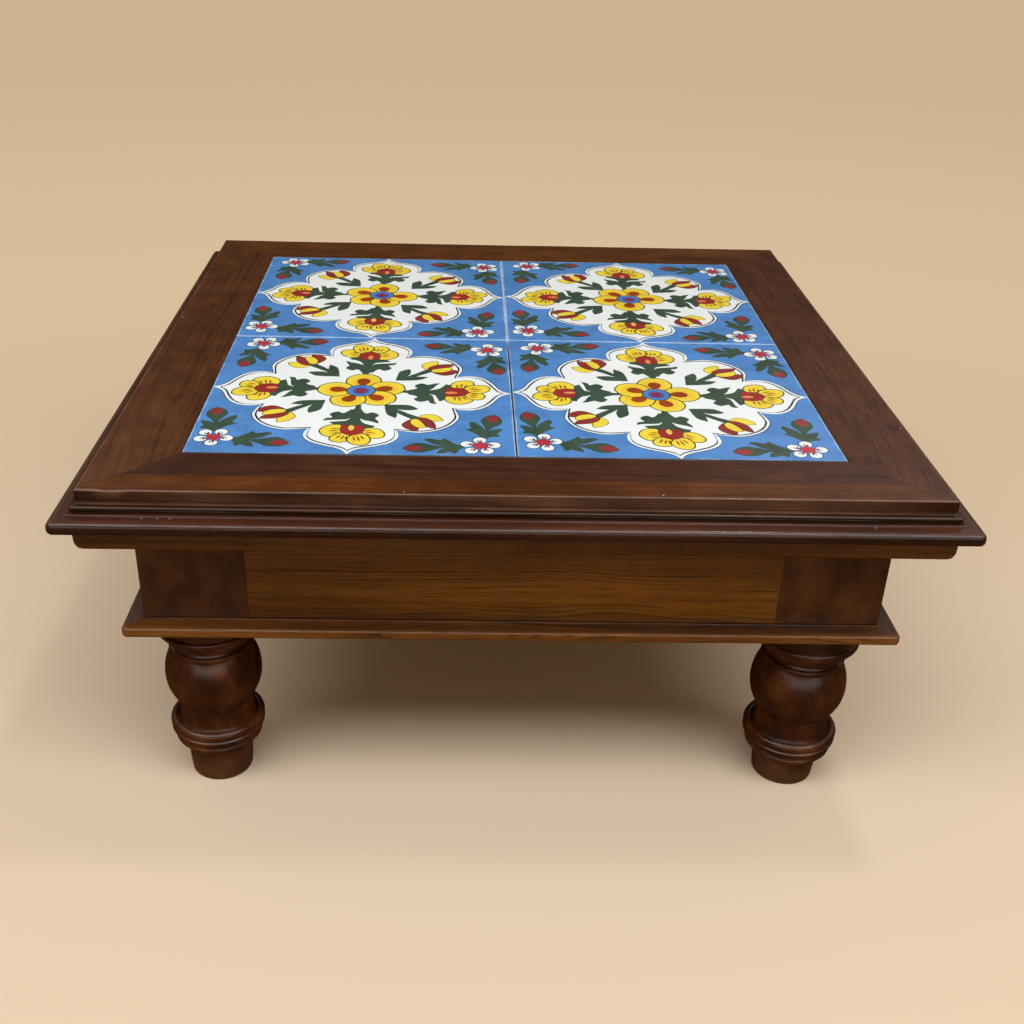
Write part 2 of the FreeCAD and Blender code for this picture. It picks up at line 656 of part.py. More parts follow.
os.makedirs("parts", exist_ok=True)
for piece in pieces:
    solids = piece.Shape.Solids
    shape = solids[0] if len(solids) == 1 else Part.makeCompound(solids)
    shape.exportStep(os.path.join("parts", f"{piece.Label}.step"))
print(f"{len(pieces)} pieces written")
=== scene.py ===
"""The looks of a low square table: four turned legs, an apron box between corner posts,
a stack of mouldings and a mitred frame round four painted tiles.  Lengths are in metres,
and the table stands on the floor with its front towards -Y."""
import math
import random

import bmesh
import bpy
from mathutils import Matrix, Vector, noise
from mathutils.geometry import delaunay_2d_cdt


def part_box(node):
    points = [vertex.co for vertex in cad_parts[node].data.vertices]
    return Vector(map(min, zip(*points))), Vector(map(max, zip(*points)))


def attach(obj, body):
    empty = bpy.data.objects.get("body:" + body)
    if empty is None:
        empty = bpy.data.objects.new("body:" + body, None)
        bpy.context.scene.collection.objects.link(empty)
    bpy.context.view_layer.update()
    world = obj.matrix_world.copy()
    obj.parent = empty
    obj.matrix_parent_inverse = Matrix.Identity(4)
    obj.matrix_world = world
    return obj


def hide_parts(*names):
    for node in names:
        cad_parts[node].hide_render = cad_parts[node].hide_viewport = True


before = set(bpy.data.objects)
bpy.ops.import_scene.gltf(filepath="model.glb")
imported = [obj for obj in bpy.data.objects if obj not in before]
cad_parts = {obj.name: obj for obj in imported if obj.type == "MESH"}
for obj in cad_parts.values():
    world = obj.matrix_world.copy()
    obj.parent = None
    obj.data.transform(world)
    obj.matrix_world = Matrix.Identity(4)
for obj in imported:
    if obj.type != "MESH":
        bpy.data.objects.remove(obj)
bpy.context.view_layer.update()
MM = 0.001


# Camera
# The picture is taken from standing height in front of the table, looking down at its
# top. It is a little askew, and cropped, so the lens axis misses the picture's middle.
PICTURE_SIDE = 1024
LENS_AXIS_PIXEL = (486, 538)
FOCAL_LENGTH_PIXELS = 1230.45
SENSOR_MM = 36.0
CAMERA_PLACE = Vector((-35.16, -872.42, 560.96)) * MM
CAMERA_YAW = -0.02624
CAMERA_PITCH = 0.51171
CAMERA_ROLL = 0.02554

camera_data = bpy.data.cameras.new("camera")
camera_data.sensor_width = SENSOR_MM
camera_data.lens = FOCAL_LENGTH_PIXELS * SENSOR_MM / PICTURE_SIDE
camera_data.shift_x = 0.5 - LENS_AXIS_PIXEL[0] / PICTURE_SIDE
camera_data.shift_y = LENS_AXIS_PIXEL[1] / PICTURE_SIDE - 0.5
camera_data.clip_start = 0.01
camera = bpy.data.objects.new("camera", camera_data)
camera.matrix_world = (
    Matrix.Translation(CAMERA_PLACE)
    @ Matrix.Rotation(CAMERA_YAW, 4, "Z")
    @ Matrix.Rotation(math.pi / 2 - CAMERA_PITCH, 4, "X")
    @ Matrix.Rotation(CAMERA_ROLL, 4, "Z")
)
bpy.context.scene.collection.objects.link(camera)
bpy.context.scene.camera = camera
bpy.context.scene.view_settings.view_transform = "Standard"


# Floor and backdrop
# A seamless sheet of warm beige paper runs from under the table to far behind it. Near
# the table it takes light and shadow, and far away it fades into its own plain tone.
FLOOR_RADIUS = 40.0
FLOOR_SIDES = 96
FADE_START = 1.0
FADE_END = 1.7
BRIGHTEST_AT = (0.0, -0.75, 0.0)
NEAR_REACH = 0.9
MIDDLE_REACH = 1.62
FAR_REACH = 3.6
TONE_REACH = 4.5


def colour(red, green, blue):
    """A colour in the 0 to 255 steps of a screen, as the shader's linear values."""
    steps = [value / 255 for value in (red, green, blue)]
    linear = [step / 12.92 if step < 0.04045 else ((step + 0.055) / 1.055) ** 2.4 for step in steps]
    return (*linear, 1.0)


class Value:
    """A socket of a node tree. Arithmetic on it adds Math nodes to the tree."""

    def __init__(self, tree, socket=None):
        self.tree = tree
        self.socket = socket

    def make(self, kind, settings, sockets, out=0):
        """Add any node: its settings first, then a value or a link for each socket."""
        node = self.tree.nodes.new(kind)
        for name, setting in settings.items():
            if name == "stops":
                set_stops(node.color_ramp, setting)
            else:
                setattr(node, name, setting)
        for name, value in sockets.items():
            if isinstance(value, Value):
                self.tree.links.new(value.socket, node.inputs[name])
            else:
                node.inputs[name].default_value = value
        return Value(self.tree, node.outputs[out]) if node.outputs else None

    def out(self, name):
        """Another output of the node that this socket belongs to."""
        return Value(self.tree, self.socket.node.outputs[name])

    def axis(self, name):
        """One coordinate of a vector."""
        return self.make("ShaderNodeSeparateXYZ", {}, {"Vector": self}, out=name)

    def math(self, operation, first, second=0.0):
        """The result of a Math node."""
        return self.make("ShaderNodeMath", {"operation": operation}, {0: first, 1: second})

    def __abs__(self):
        return self.math("ABSOLUTE", self)

    def __add__(self, other):
        return self.math("ADD", self, other)

    def __mul__(self, other):
        return self.math("MULTIPLY", self, other)

    def __sub__(self, other):
        return self.math("SUBTRACT", self, other)

    def __rsub__(self, other):
        return self.math("SUBTRACT", other, self)

    def __pow__(self, other):
        return self.math("POWER", self, other)

    __radd__ = __add__
    __rmul__ = __mul__


def set_stops(ramp, stops):
    """Give a colour ramp its stops, each a position and a colour."""
    while len(ramp.elements) < len(stops):
        ramp.elements.new(0.5)
    for element, (position, tone) in zip(ramp.elements, stops):
        element.position = position
        element.color = tone


def ramp_of(value, stops):
    """The colour that a value picks from a list of stops."""
    return value.make("ShaderNodeValToRGB", {"stops": stops}, {"Fac": value})


def tinted(under, over, share, mode="MIX"):
    """One colour laid over another, as much as the share says."""
    settings = {"data_type": "RGBA", "blend_type": mode}
    start = next(thing for thing in (share, under, over) if isinstance(thing, Value))
    return start.make("ShaderNodeMix", settings, {0: share, 6: under, 7: over}, out=2)


def step_between(value, low, high):
    """0 below low and 1 above high, with a soft step between them."""
    sockets = {"Value": value, "From Min": low, "From Max": high}
    return value.make("ShaderNodeMapRange", {"interpolation_type": "SMOOTHSTEP"}, sockets)


def new_material(name):
    """An empty material, and a Value to add its nodes with."""
    material = bpy.data.materials.new(name)
    material.use_nodes = True
    material.node_tree.nodes.clear()
    return material, Value(material.node_tree)


def mesh_object(name, points, faces):
    """A mesh object at the origin, with its place in its points."""
    mesh = bpy.data.meshes.new(name)
    mesh.from_pydata(points, [], faces)
    made = bpy.data.objects.new(name, mesh)
    bpy.context.scene.collection.objects.link(made)
    return made


# Painted light: the paper's tone is palest near BRIGHTEST_AT and darker farther off, a painted fall-off of
# the light over floor and backdrop
PAPER_NEAR = colour(231, 207, 178)
PAPER_MIDDLE = colour(219, 191, 157)
PAPER_FAR = colour(206, 177, 143)
PAPER_MIRRORED = colour(96, 76, 56)

paper, nodes = new_material("backdrop_paper")
place = nodes.make("ShaderNodeNewGeometry", {}, {}, out="Position")
distance = {"operation": "DISTANCE"}
away = nodes.make("ShaderNodeVectorMath", distance, {0: place, 1: BRIGHTEST_AT}, out="Value")
paper_tones = {NEAR_REACH: PAPER_NEAR, MIDDLE_REACH: PAPER_MIDDLE, FAR_REACH: PAPER_FAR}
stops = [(reach / TONE_REACH, tone) for reach, tone in paper_tones.items()]
tone = ramp_of(away * (1 / TONE_REACH), stops)
ray = nodes.make("ShaderNodeLightPath", {}, {}, out="Is Camera Ray")
seen_tone = tinted(tone, PAPER_MIRRORED, ray.out("Is Glossy Ray"), "MULTIPLY")
lit = nodes.make("ShaderNodeBsdfDiffuse", {}, {"Color": seen_tone})
plain = nodes.make("ShaderNodeEmission", {}, {"Color": tone})
far_off = step_between(away, FADE_START, FADE_END) * ray
surface = nodes.make("ShaderNodeMixShader", {}, {0: far_off, 1: lit, 2: plain})
nodes.make("ShaderNodeOutputMaterial", {}, {"Surface": surface})

rim = []
for step in range(FLOOR_SIDES):
    turn = math.tau * step / FLOOR_SIDES
    rim.append(Vector((math.cos(turn), math.sin(turn), 0)) * FLOOR_RADIUS)
floor = mesh_object("floor", rim, [range(FLOOR_SIDES)])
floor.data.materials.append(paper)


# Light
# A wide soft box over the front gives most of the light, a small lamp above draws the faint
# edge of the top's shadow, and warm light comes from all round. The lacquer mirrors a dim
# room with two brighter walls and a low window in front.
AMBIENT = 0.31
ROOM_GLOSS = 0.02
WALL_GLOSS = 0.56
WALL_SHIFT = 0.04
WALL_SIDES = (0.12, 0.42)
WALL_FOOT = (0.30, 0.46)
WINDOW_GLOSS = 1.9
WINDOW_FOOT = (0.04, 0.16)
WINDOW_HEAD = (0.32, 0.5)
WINDOW_SIDES = (0.46, 0.74)
WINDOW_FRONT = (0.45, 0.7)
SOFT_BOX_SIZE = (4.6, 1.1)
SOFT_BOX_PLACE = Vector((-0.1, -1.22, 2.17))
SOFT_BOX_WATTS = 65.5
LAMP_SIZE = (0.24, 0.16)
LAMP_PLACE = Vector((0.64, 0.0, 2.4))
LAMP_WATTS = 6.5
LAMP_TINT = (0.95, 1.004, 1.073)
ROOM_TINT = (1.0, 0.82, 0.57, 1.0)
MIRRORED_TINT = (1.0, 0.88, 0.83, 1.0)

world = bpy.data.worlds.new("studio")
bpy.context.scene.world = world
world.use_nodes = True
world.node_tree.nodes.clear()
nodes = Value(world.node_tree)
direction = nodes.make("ShaderNodeTexCoord", {}, {}, out="Generated")
sideways, backwards, upwards = (direction.axis(name) for name in "XYZ")
# Each pair of steps says where a bright patch begins, and where it is full
walls = step_between(abs(sideways + WALL_SHIFT), *WALL_SIDES) * step_between(upwards, *WALL_FOOT)
height = step_between(upwards, *WINDOW_FOOT) * (1 - step_between(upwards, *WINDOW_HEAD))
width = 1 - step_between(abs(sideways), *WINDOW_SIDES)
window = height * width * step_between(0 - backwards, *WINDOW_FRONT)
ray = nodes.make("ShaderNodeLightPath", {}, {}, out="Is Camera Ray")
glossy = ray.out("Is Glossy Ray")
mirrored = walls * WALL_GLOSS + window * WINDOW_GLOSS + ROOM_GLOSS
level = glossy * mirrored + (1 - glossy) * AMBIENT
room_tone = tinted(ROOM_TINT, MIRRORED_TINT, glossy)
room = nodes.make("ShaderNodeBackground", {}, {"Color": room_tone, "Strength": level})
paper_wall = nodes.make("ShaderNodeBackground", {}, {"Color": PAPER_FAR, "Strength": 1.0})
surface = nodes.make("ShaderNodeMixShader", {}, {0: ray, 1: room, 2: paper_wall})
nodes.make("ShaderNodeOutputWorld", {}, {"Surface": surface})

lamps = [
    ("soft_box", SOFT_BOX_PLACE, SOFT_BOX_SIZE, SOFT_BOX_WATTS),
    ("small_lamp", LAMP_PLACE, LAMP_SIZE, LAMP_WATTS),
]
for name, lamp_place, lamp_size, watts in lamps:
    lamp = bpy.data.lights.new(name, "AREA")
    lamp.shape = "RECTANGLE"
    lamp.size, lamp.size_y = lamp_size
    lamp.energy = watts
    lamp.color = LAMP_TINT
    lamp_object = bpy.data.objects.new(name, lamp)
    lamp_object.location = lamp_place
    lamp_object.rotation_euler = lamp_place.to_track_quat("Z", "Y").to_euler()
    bpy.context.scene.collection.objects.link(lamp_object)


# Turned legs
# Each leg is turned by hand from one piece of dark reddish hardwood, and its round tenon is
# glued into a corner post. From the floor up it has a tapering foot, two steps, a saucer
# with a raised rim, an urn under a thin lip, and a ring below the flat collar.
SIDES = ["right", "back", "left", "front"]
CORNERS = ["front_right", "back_right", "back_left", "front_left"]
WELD = 0.002 * MM
HAIR = 1e-3
CURVE_STEP = 1.3
CUSP = True
# Radius and height in millimetres, from the foot up. A point marked CUSP is a sharp one
LEG_PROFILE = [
    (0, 0, CUSP), (19, 0, CUSP), (20.1, 0.5), (20.5, 1.8), (21.9, 21.4, CUSP),
    (24.6, 22.6, CUSP), (25.4, 24), (25.3, 25.6, CUSP),
    (27.6, 26.4, CUSP), (28.7, 27.4), (28.9, 28.8), (28.2, 30, CUSP), (28.5, 32), (29.3, 33.6),
    (30.3, 34.6, CUSP), (31, 35.2), (31, 36.2), (30.1, 37, CUSP),
    (30.9, 38.2), (31.3, 39.8), (31, 41.6), (29.9, 43), (28.3, 43.5), (26.9, 43), (25.9, 41.8, CUSP),
    (24.9, 43.4), (24.5, 46.5), (24.4, 51), (24.8, 55.5), (26.1, 59.5), (28.1, 63.2), (30, 67.5),
    (31.2, 72), (31.7, 77), (31.5, 82), (30.6, 87), (29, 91.7), (27.4, 95.2), (26.2, 97.2, CUSP),
    (27.2, 98), (27.4, 99.5), (26.9, 101, CUSP), (25.2, 101.8, CUSP), (24.5, 103.4), (24.4, 105.4),
    (25.2, 107, CUSP), (28.6, 107.6, CUSP), (29.9, 108.6), (30.4, 110.4), (30.9, 112.2, CUSP),
    (32.8, 112.8, CUSP), (33.9, 114), (34.1, 115.6), (33.7, 117.2), (32.2, 118.1, CUSP),
    (32.8, 119.2, CUSP), (33.6, 120.2), (33.5, 122), (33.2, 126), (33.6, 130.8, CUSP),
    (33.2, 132, CUSP), (15, 132, CUSP), (15, 180.1, CUSP), (13.5, 181.6, CUSP), (0, 181.6, CUSP),
]
LATHE_STEPS = 72
LEG_TOP = 132 * MM
LEG_FREE_FOOT = 25 * MM
LEG_FREE_HEAD = 12 * MM
LEG_COLLAR = 6 * MM
# How far each leg's turned forms have slipped up, and its foot leans to the right
LEG_SLIPS = {"front_right": -2.6, "back_right": 1.0, "back_left": -0.8, "front_left": 2.6}
LEG_LEANS = {"front_right": -1.8, "back_right": 0.6, "back_left": 0.4, "front_left": -0.4}
LEG_UNEVENNESS = 0.2 * MM
UNEVEN_SPOTS = 28
LEG_PITH_SHARE = 0.8
LEG_TONES = (colour(46, 19, 3), colour(67, 31, 7), colour(92, 48, 14))
# Scuffs and painted light: the foot is painted paler towards the floor, partly wear and partly a painted
# light on it
LEG_SCUFFS_AND_LIGHT = colour(104, 74, 52)
FOOT_PALE_HEIGHTS = (6 * MM, 34 * MM)
STAIN_STOPS = (0.36, 0.5, 0.64)
# So many streaks to the metre along the fibres, and across them
RING_DRIFT = (4, 22)
RING_BREAKS = (14, 90)
FINE_FIBRES = (9, 420)
CLOUDS = (6, 20)
MOTTLES = (40, 56)
PORES = (60, 1300)
GASHES = (46, 620)
BAND_SOFTNESS = 0.3 * MM
DARK_SHARE = 0.36
LACQUER = {"Specular IOR Level": 0.35, "Coat Weight": 0.2, "Coat Roughness": 0.12}
FLAT_ANGLE = 0.01
EASED_ANGLE = 0.6
SHORTEST_EASED = 15 * MM
WOOD_CREASE = 32

boards = random.Random(11)


def speckle(place, scale, detail=2.0):
    """Soft random values from 0 to 1, about scale patches to the metre."""
    sockets = {"Vector": place, "Scale": scale, "Detail": detail}
    return place.make("ShaderNodeTexNoise", {"noise_dimensions": "3D"}, sockets)


def fibres(grain, along, across, detail=2.0):
    """Random streaks: so many to the metre along the fibres, and across them."""
    settings = {"operation": "MULTIPLY"}
    drawn = grain.make("ShaderNodeVectorMath", settings, {0: grain, 1: (along, across, across)})
    return speckle(drawn, 1.0, detail)


def stained(figure, tones, stops=STAIN_STOPS):
    """The tone that a figure's value picks from a deep, a middle and a pale one."""
    return ramp_of(figure, list(zip(stops, tones)))


def surfaced(nodes, tone, roughness, relief, strength, height, others=None):
    """End a material with its tone, its roughness, a relief of the given height and the
    values of other sockets."""
    bump = {"Height": relief, "Strength": strength, "Distance": height}
    normal = nodes.make("ShaderNodeBump", {}, bump)
    sockets = {"Base Color": tone, "Roughness": roughness, "Normal": normal, **(others or {})}
    shader = nodes.make("ShaderNodeBsdfPrincipled", {}, sockets)
    nodes.make("ShaderNodeOutputMaterial", {}, {"Surface": shader})


def lacquered_wood(
        name, tones, ring_gap, wander, figure=0.5, mottle=0.0, bands=(), openness=0.5, scuffs_and_light=None):
    """Stained hardwood under lacquer. Its grain follows the piece's own fibre coordinates:
    thin dark year lines round the pith, fine fibres, open pores and a cloudy stain. A band
    is a depth outside the piece's noted edge, and the tones from there outwards."""
    material, nodes = new_material(name)
    grain = nodes.make("ShaderNodeAttribute", {"attribute_name": "grain"}, {}, out="Vector")
    across, depth = grain.axis("Y"), grain.axis("Z")
    drift = fibres(grain, *RING_DRIFT) - 0.5
    years = ((across * across + depth * depth) ** 0.5 + drift * wander) * (1 / ring_gap)
    uneven = {"W": years * 0.45, "Scale": 1.0, "Detail": 1.0}
    years = years + nodes.make("ShaderNodeTexNoise", {"noise_dimensions": "1D"}, uneven) * 3.0
    late_wood = nodes.math("FRACT", years) ** 4.0
    streaks = fibres(grain, *FINE_FIBRES, detail=3.0)
    clouds = fibres(grain, *CLOUDS, detail=3.0) * (1 - mottle)
    clouds = clouds + fibres(grain, *MOTTLES, detail=4.0) * mottle
    broken = step_between(fibres(grain, *RING_BREAKS), 0.34, 0.56)
    pores = step_between(fibres(grain, *PORES, detail=1.0), 0.58, 0.68)
    figured = clouds * (0.6 + mottle * 0.34) + streaks * (0.4 - mottle * 0.34)
    tone = stained(figured, tones)
    for start, band_tones in bands:
        outside = nodes.make("ShaderNodeAttribute", {"attribute_name": "strip"}, {}, out="Fac")
        reached = step_between(outside, start - BAND_SOFTNESS, start + BAND_SOFTNESS)
        tone = tinted(tone, stained(figured, band_tones), reached)
    dark = (*[channel * DARK_SHARE for channel in tones[0][:3]], 1.0)
    tone = tinted(tone, dark, late_wood * broken * figure)
    tone = tinted(tone, dark, pores * openness * (1 - mottle * 0.7))
    if openness > 0.5:
        gashes = step_between(fibres(grain, *GASHES, detail=1.0), 0.6, 0.68)
        tone = tinted(tone, dark, gashes * (openness - 0.5) * 1.6)
    # Paler towards the foot: scuffs, and partly painted light
    if scuffs_and_light:
        height = nodes.make("ShaderNodeTexCoord", {}, {}, out="Object").axis("Z")
        tone = tinted(tone, scuffs_and_light, (1 - step_between(height, *FOOT_PALE_HEIGHTS)) * clouds * 0.8)
    sheen = 0.24 + streaks * 0.10 + pores * 0.08
    relief = streaks * 0.35 + clouds * 0.9 - pores * 0.5 - late_wood * figure * 0.3
    surfaced(nodes, tone, sheen, relief, 0.35, 0.4 * MM, LACQUER)
    return material


def lay_grain(piece, pith, turns=0, upright=False):
    """Note at each point of a piece its place along the fibres and across from the pith,
    for a board at the right turned by quarter turns, or for an upright piece."""
    turn = Matrix.Rotation(-math.pi / 2 * turns, 3, "Z")
    start = boards.uniform(0, 40)
    rows = []
    for vertex in piece.data.vertices:
        x, y, z = turn @ vertex.co
        along, across, depth = (z, x, y) if upright else (y, x, z)
        rows += [along + start, across - pith[0], depth - pith[1]]
    attribute = piece.data.attributes.new("grain", "FLOAT_VECTOR", "POINT")
    attribute.data.foreach_set("vector", rows)


def packed_copy(name, node, ease=0.0):
    """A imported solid's mesh under a new name: merged into one skin, its long edges eased."""
    skin = bmesh.new()
    skin.from_mesh(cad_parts[node].data)
    bmesh.ops.remove_doubles(skin, verts=skin.verts, dist=WELD)
    if ease:
        flat = {"angle_limit": FLAT_ANGLE, "verts": skin.verts[:], "edges": skin.edges[:]}
        bmesh.ops.dissolve_limit(skin, **flat)
        edges = [
            edge for edge in skin.edges
            if edge.is_manifold and edge.calc_face_angle() > EASED_ANGLE
            and edge.calc_length() > SHORTEST_EASED
        ]
        bmesh.ops.bevel(
            skin, geom=edges, offset=ease, offset_type="OFFSET", segments=3, profile=0.5,
            affect="EDGES", clamp_overlap=True)
    mesh = bpy.data.meshes.new(name)
    skin.to_mesh(mesh)
    skin.free()
    made = bpy.data.objects.new(name, mesh)
    bpy.context.scene.collection.objects.link(made)
    return made


def settle(piece):
    """Turn what a piece's modifiers make into its plain mesh."""
    mesh = bpy.data.meshes.new_from_object(
        piece.evaluated_get(bpy.context.evaluated_depsgraph_get()),
        preserve_all_data_layers=True, depsgraph=bpy.context.evaluated_depsgraph_get())
    piece.modifiers.clear()
    piece.data = mesh
    mesh.name = piece.name


def even_normals(piece, crease):
    """Shading that stays flat on flat faces and breaks at creases of so many degrees."""
    piece.data.set_sharp_from_angle(angle=math.radians(crease))
    weighting = piece.modifiers.new("even_normals", "WEIGHTED_NORMAL")
    weighting.keep_sharp = True
    settle(piece)


def polish(piece, material):
    """Give a wooden piece its material and smooth shading."""
    piece.data.materials.clear()
    piece.data.materials.append(material)
    for face in piece.data.polygons:
        face.use_smooth = True
    even_normals(piece, WOOD_CREASE)


def smooth_outline(points):
    """A closed curve through given points that turns sharply only at its cusps."""
    curve = []
    for here, point in enumerate(points):
        after = points[(here + 1) % len(points)]
        start, end = Vector(point[:2]), Vector(after[:2])
        chord = end - start
        before_start = Vector(points[here - 1][:2])
        after_end = Vector(points[(here + 2) % len(points)][:2])
        leaving = chord if len(point) == 3 else (end - before_start).normalized() * chord.length
        arriving = chord if len(after) == 3 else (after_end - start).normalized() * chord.length
        steps = max(2, math.ceil(chord.length / CURVE_STEP))
        for step in range(steps):
            t = step / steps
            curve.append(
                start * (2 * t ** 3 - 3 * t ** 2 + 1) + leaving * (t ** 3 - 2 * t ** 2 + t)
                + end * (3 * t ** 2 - 2 * t ** 3) + arriving * (t ** 3 - t ** 2))
    return curve


def turned_skin(name, profile):
    """A closed skin round the upright axis, from a profile in millimetres that starts and
    ends on the axis."""
    curve = [point * MM for point in smooth_outline(profile) if point.x > HAIR]
    points = [Vector((0, 0, profile[0][1])) * MM, Vector((0, 0, profile[-1][1])) * MM]
    for point in curve:
        for step in range(LATHE_STEPS):
            turn = math.tau * step / LATHE_STEPS
            points.append(Vector((point.x * math.cos(turn), point.x * math.sin(turn), point.y)))
    faces = []
    for step in range(LATHE_STEPS):
        after = (step + 1) % LATHE_STEPS
        last = 2 + (len(curve) - 1) * LATHE_STEPS
        faces.append([0, 2 + after, 2 + step])
        faces.append([1, last + step, last + after])
        for row in range(len(curve) - 1):
            near = 2 + row * LATHE_STEPS
            far = near + LATHE_STEPS
            faces.append([near + step, near + after, far + after, far + step])
    return mesh_object(name, points, faces)


leg_wood = lacquered_wood(
    "leg_wood", LEG_TONES, ring_gap=4.0 * MM, wander=14 * MM, figure=0.2, mottle=0.9,
    scuffs_and_light=LEG_SCUFFS_AND_LIGHT)
for corner in CORNERS:
    node = f"leg_{corner}"
    leg = turned_skin(f"turned_{node}", LEG_PROFILE)
    low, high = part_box(node)
    axis = Vector((low.x + high.x, low.y + high.y, 0)) / 2
    radius = (high.x - low.x) / 2
    for vertex in leg.data.vertices:
        above = vertex.co.z / LEG_FREE_FOOT
        below = (LEG_TOP - LEG_COLLAR - vertex.co.z) / LEG_FREE_HEAD
        slip = LEG_SLIPS[corner] * max(0, min(1, above, below))
        lean = LEG_LEANS[corner] * max(0, 1 - vertex.co.z / LEG_TOP)
        out = Vector((vertex.co.x, vertex.co.y, 0))
        vertex.co += axis + Vector((lean, 0, slip)) * MM
        if out.length > radius / 2:
            vertex.co += out.normalized() * LEG_UNEVENNESS * noise.noise(vertex.co * UNEVEN_SPOTS)
    lay_grain(leg, (axis.x + radius * LEG_PITH_SHARE, axis.y - radius), upright=True)
    polish(leg, leg_wood)
    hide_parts(node)
    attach(leg, "root")


# Corner posts
# A square block of mottled greyish red hardwood stands at each corner, over its leg. It
# is mortised for the aprons, which come flush with it on its two outer faces.
POST_EASE = 0.35 * MM
POST_PITH_SHARES = (0.8, 1.1)
POST_TONES = {
    "right": (colour(64, 35, 14), colour(78, 44, 19), colour(93, 54, 25)),
    "left": (colour(62, 34, 16), colour(76, 43, 21), colour(92, 54, 28)),
}

post_woods = {
    side: lacquered_wood(
        f"{side}_post_wood", tones, ring_gap=6.0 * MM, wander=40 * MM, figure=0.1, mottle=1.0)
    for side, tones in POST_TONES.items()
}
for corner in CORNERS:
    node = f"corner_post_{corner}"
    post = packed_copy(f"block_{node}", node, ease=POST_EASE)
    low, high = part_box(node)
    pith = (low.x * POST_PITH_SHARES[0], high.y * POST_PITH_SHARES[1])
    lay_grain(post, pith, upright=True)
    polish(post, post_woods[corner.split("_")[1]])
    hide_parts(node)
    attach(post, "root")


# Aprons
# Four golden brown boards join the corner posts with a tenon at each end. Their wavy
# dark figure runs along them, and a fine dark line shows where they meet the posts.
APRON_EASE = 0.3 * MM
APRON_PITH_OUT = 150 * MM
APRON_TONES = (colour(78, 42, 3), colour(105, 61, 7), colour(124, 76, 13))

apron_wood = lacquered_wood(
    "apron_wood", APRON_TONES, ring_gap=2.4 * MM, wander=20 * MM, figure=0.8, mottle=0.2)
for turns, side in enumerate(SIDES):
    node = f"apron_{side}"
    board = packed_copy(f"board_{node}", node, ease=APRON_EASE)
    low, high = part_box(node)
    lay_grain(board, (APRON_PITH_OUT, low.z - (high.z - low.z) / 2), turns)
    polish(board, apron_wood)
    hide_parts(node)
    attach(board, "root")


# Base mouldings
# A flat moulding, mitred at the corners, lies between the apron box and the legs. Its
# ledge falls a little towards a rounded nose, and it is screwed up into the aprons.
BASE_FALL = 1.8 * MM
BASE_UPPER_ROUND = 1.5 * MM
BASE_LOWER_ROUND = 2.6 * MM
BASE_TIP = 3.0 * MM
BASE_STEP_WIDTH = 1.3 * MM
BASE_STEP_HEIGHT = 0.5 * MM
BASE_NOSE_DEPTH = 2.2 * MM
BASE_PITH_SHARE = 0.62
BASE_PITH_DROP = 30 * MM
# Partly painted shade: the ledge is painted darker than the nose, partly the wood's own tone and partly
# shade under the cornice's overhang
BASE_TONES = (colour(54, 24, 2), colour(78, 40, 5), colour(110, 62, 13))
BASE_NOSE_TONES = (colour(84, 46, 10), colour(104, 60, 16), colour(128, 80, 28))
MITRE_EASE = 0.08 * MM
STATIONS = 72
TIP_STATIONS = 4
WIDEST_FACET = 7 * MM
ROUND_STEPS = 7
TIP_RUN = 1.6
HAND_PLANING = 0.3 * MM
# Planing waves to the metre outwards, along the side and upwards
WAVES_OUT = 14
WAVES_ALONG = 16
WAVES_UP = 20
SIDE_SHIFT = 9


def rounded(corners):
    """A closed section. A corner with a third value is rounded off by that radius."""
    points = []
    for here, corner in enumerate(corners):
        middle = Vector(corner[:2])
        if len(corner) == 2:
            points.append(middle)
            continue
        before = (Vector(corners[here - 1][:2]) - middle).normalized()
        after = (Vector(corners[(here + 1) % len(corners)][:2]) - middle).normalized()
        half = before.angle(after) / 2
        centre = middle + (before + after).normalized() * corner[2] / math.sin(half)
        start = middle + before * corner[2] / math.tan(half) - centre
        end = middle + after * corner[2] / math.tan(half) - centre
        bend = math.pi - 2 * half
        for step in range(ROUND_STEPS + 1):
            share = step / ROUND_STEPS
            spoke = start * math.sin((1 - share) * bend) + end * math.sin(share * bend)
            points.append(centre + spoke / math.sin(bend))
    return points


def divided(points):
    """The same section with its long straight runs cut into facets."""
    finer = []
    for here, point in enumerate(points):
        after = points[(here + 1) % len(points)]
        pieces = math.ceil((after - point).length / WIDEST_FACET)
        finer += [point.lerp(after, piece / pieces) for piece in range(pieces)]
    return finer


def plan_place(out, share, reach, tip):
    """Where a section's point lies in plan: on its own line along the side, or round the
    corner of the frame, whose tip is rounded off from reach inwards."""
    core = reach - tip
    along = abs(share) * out
    if out > core and along > core:
        bend = math.pi / 4 * (along - core) / (out - core)
        along = core + (out - core) * math.sin(bend)
        out = core + (out - core) * math.cos(bend)
    return out, math.copysign(along, share)


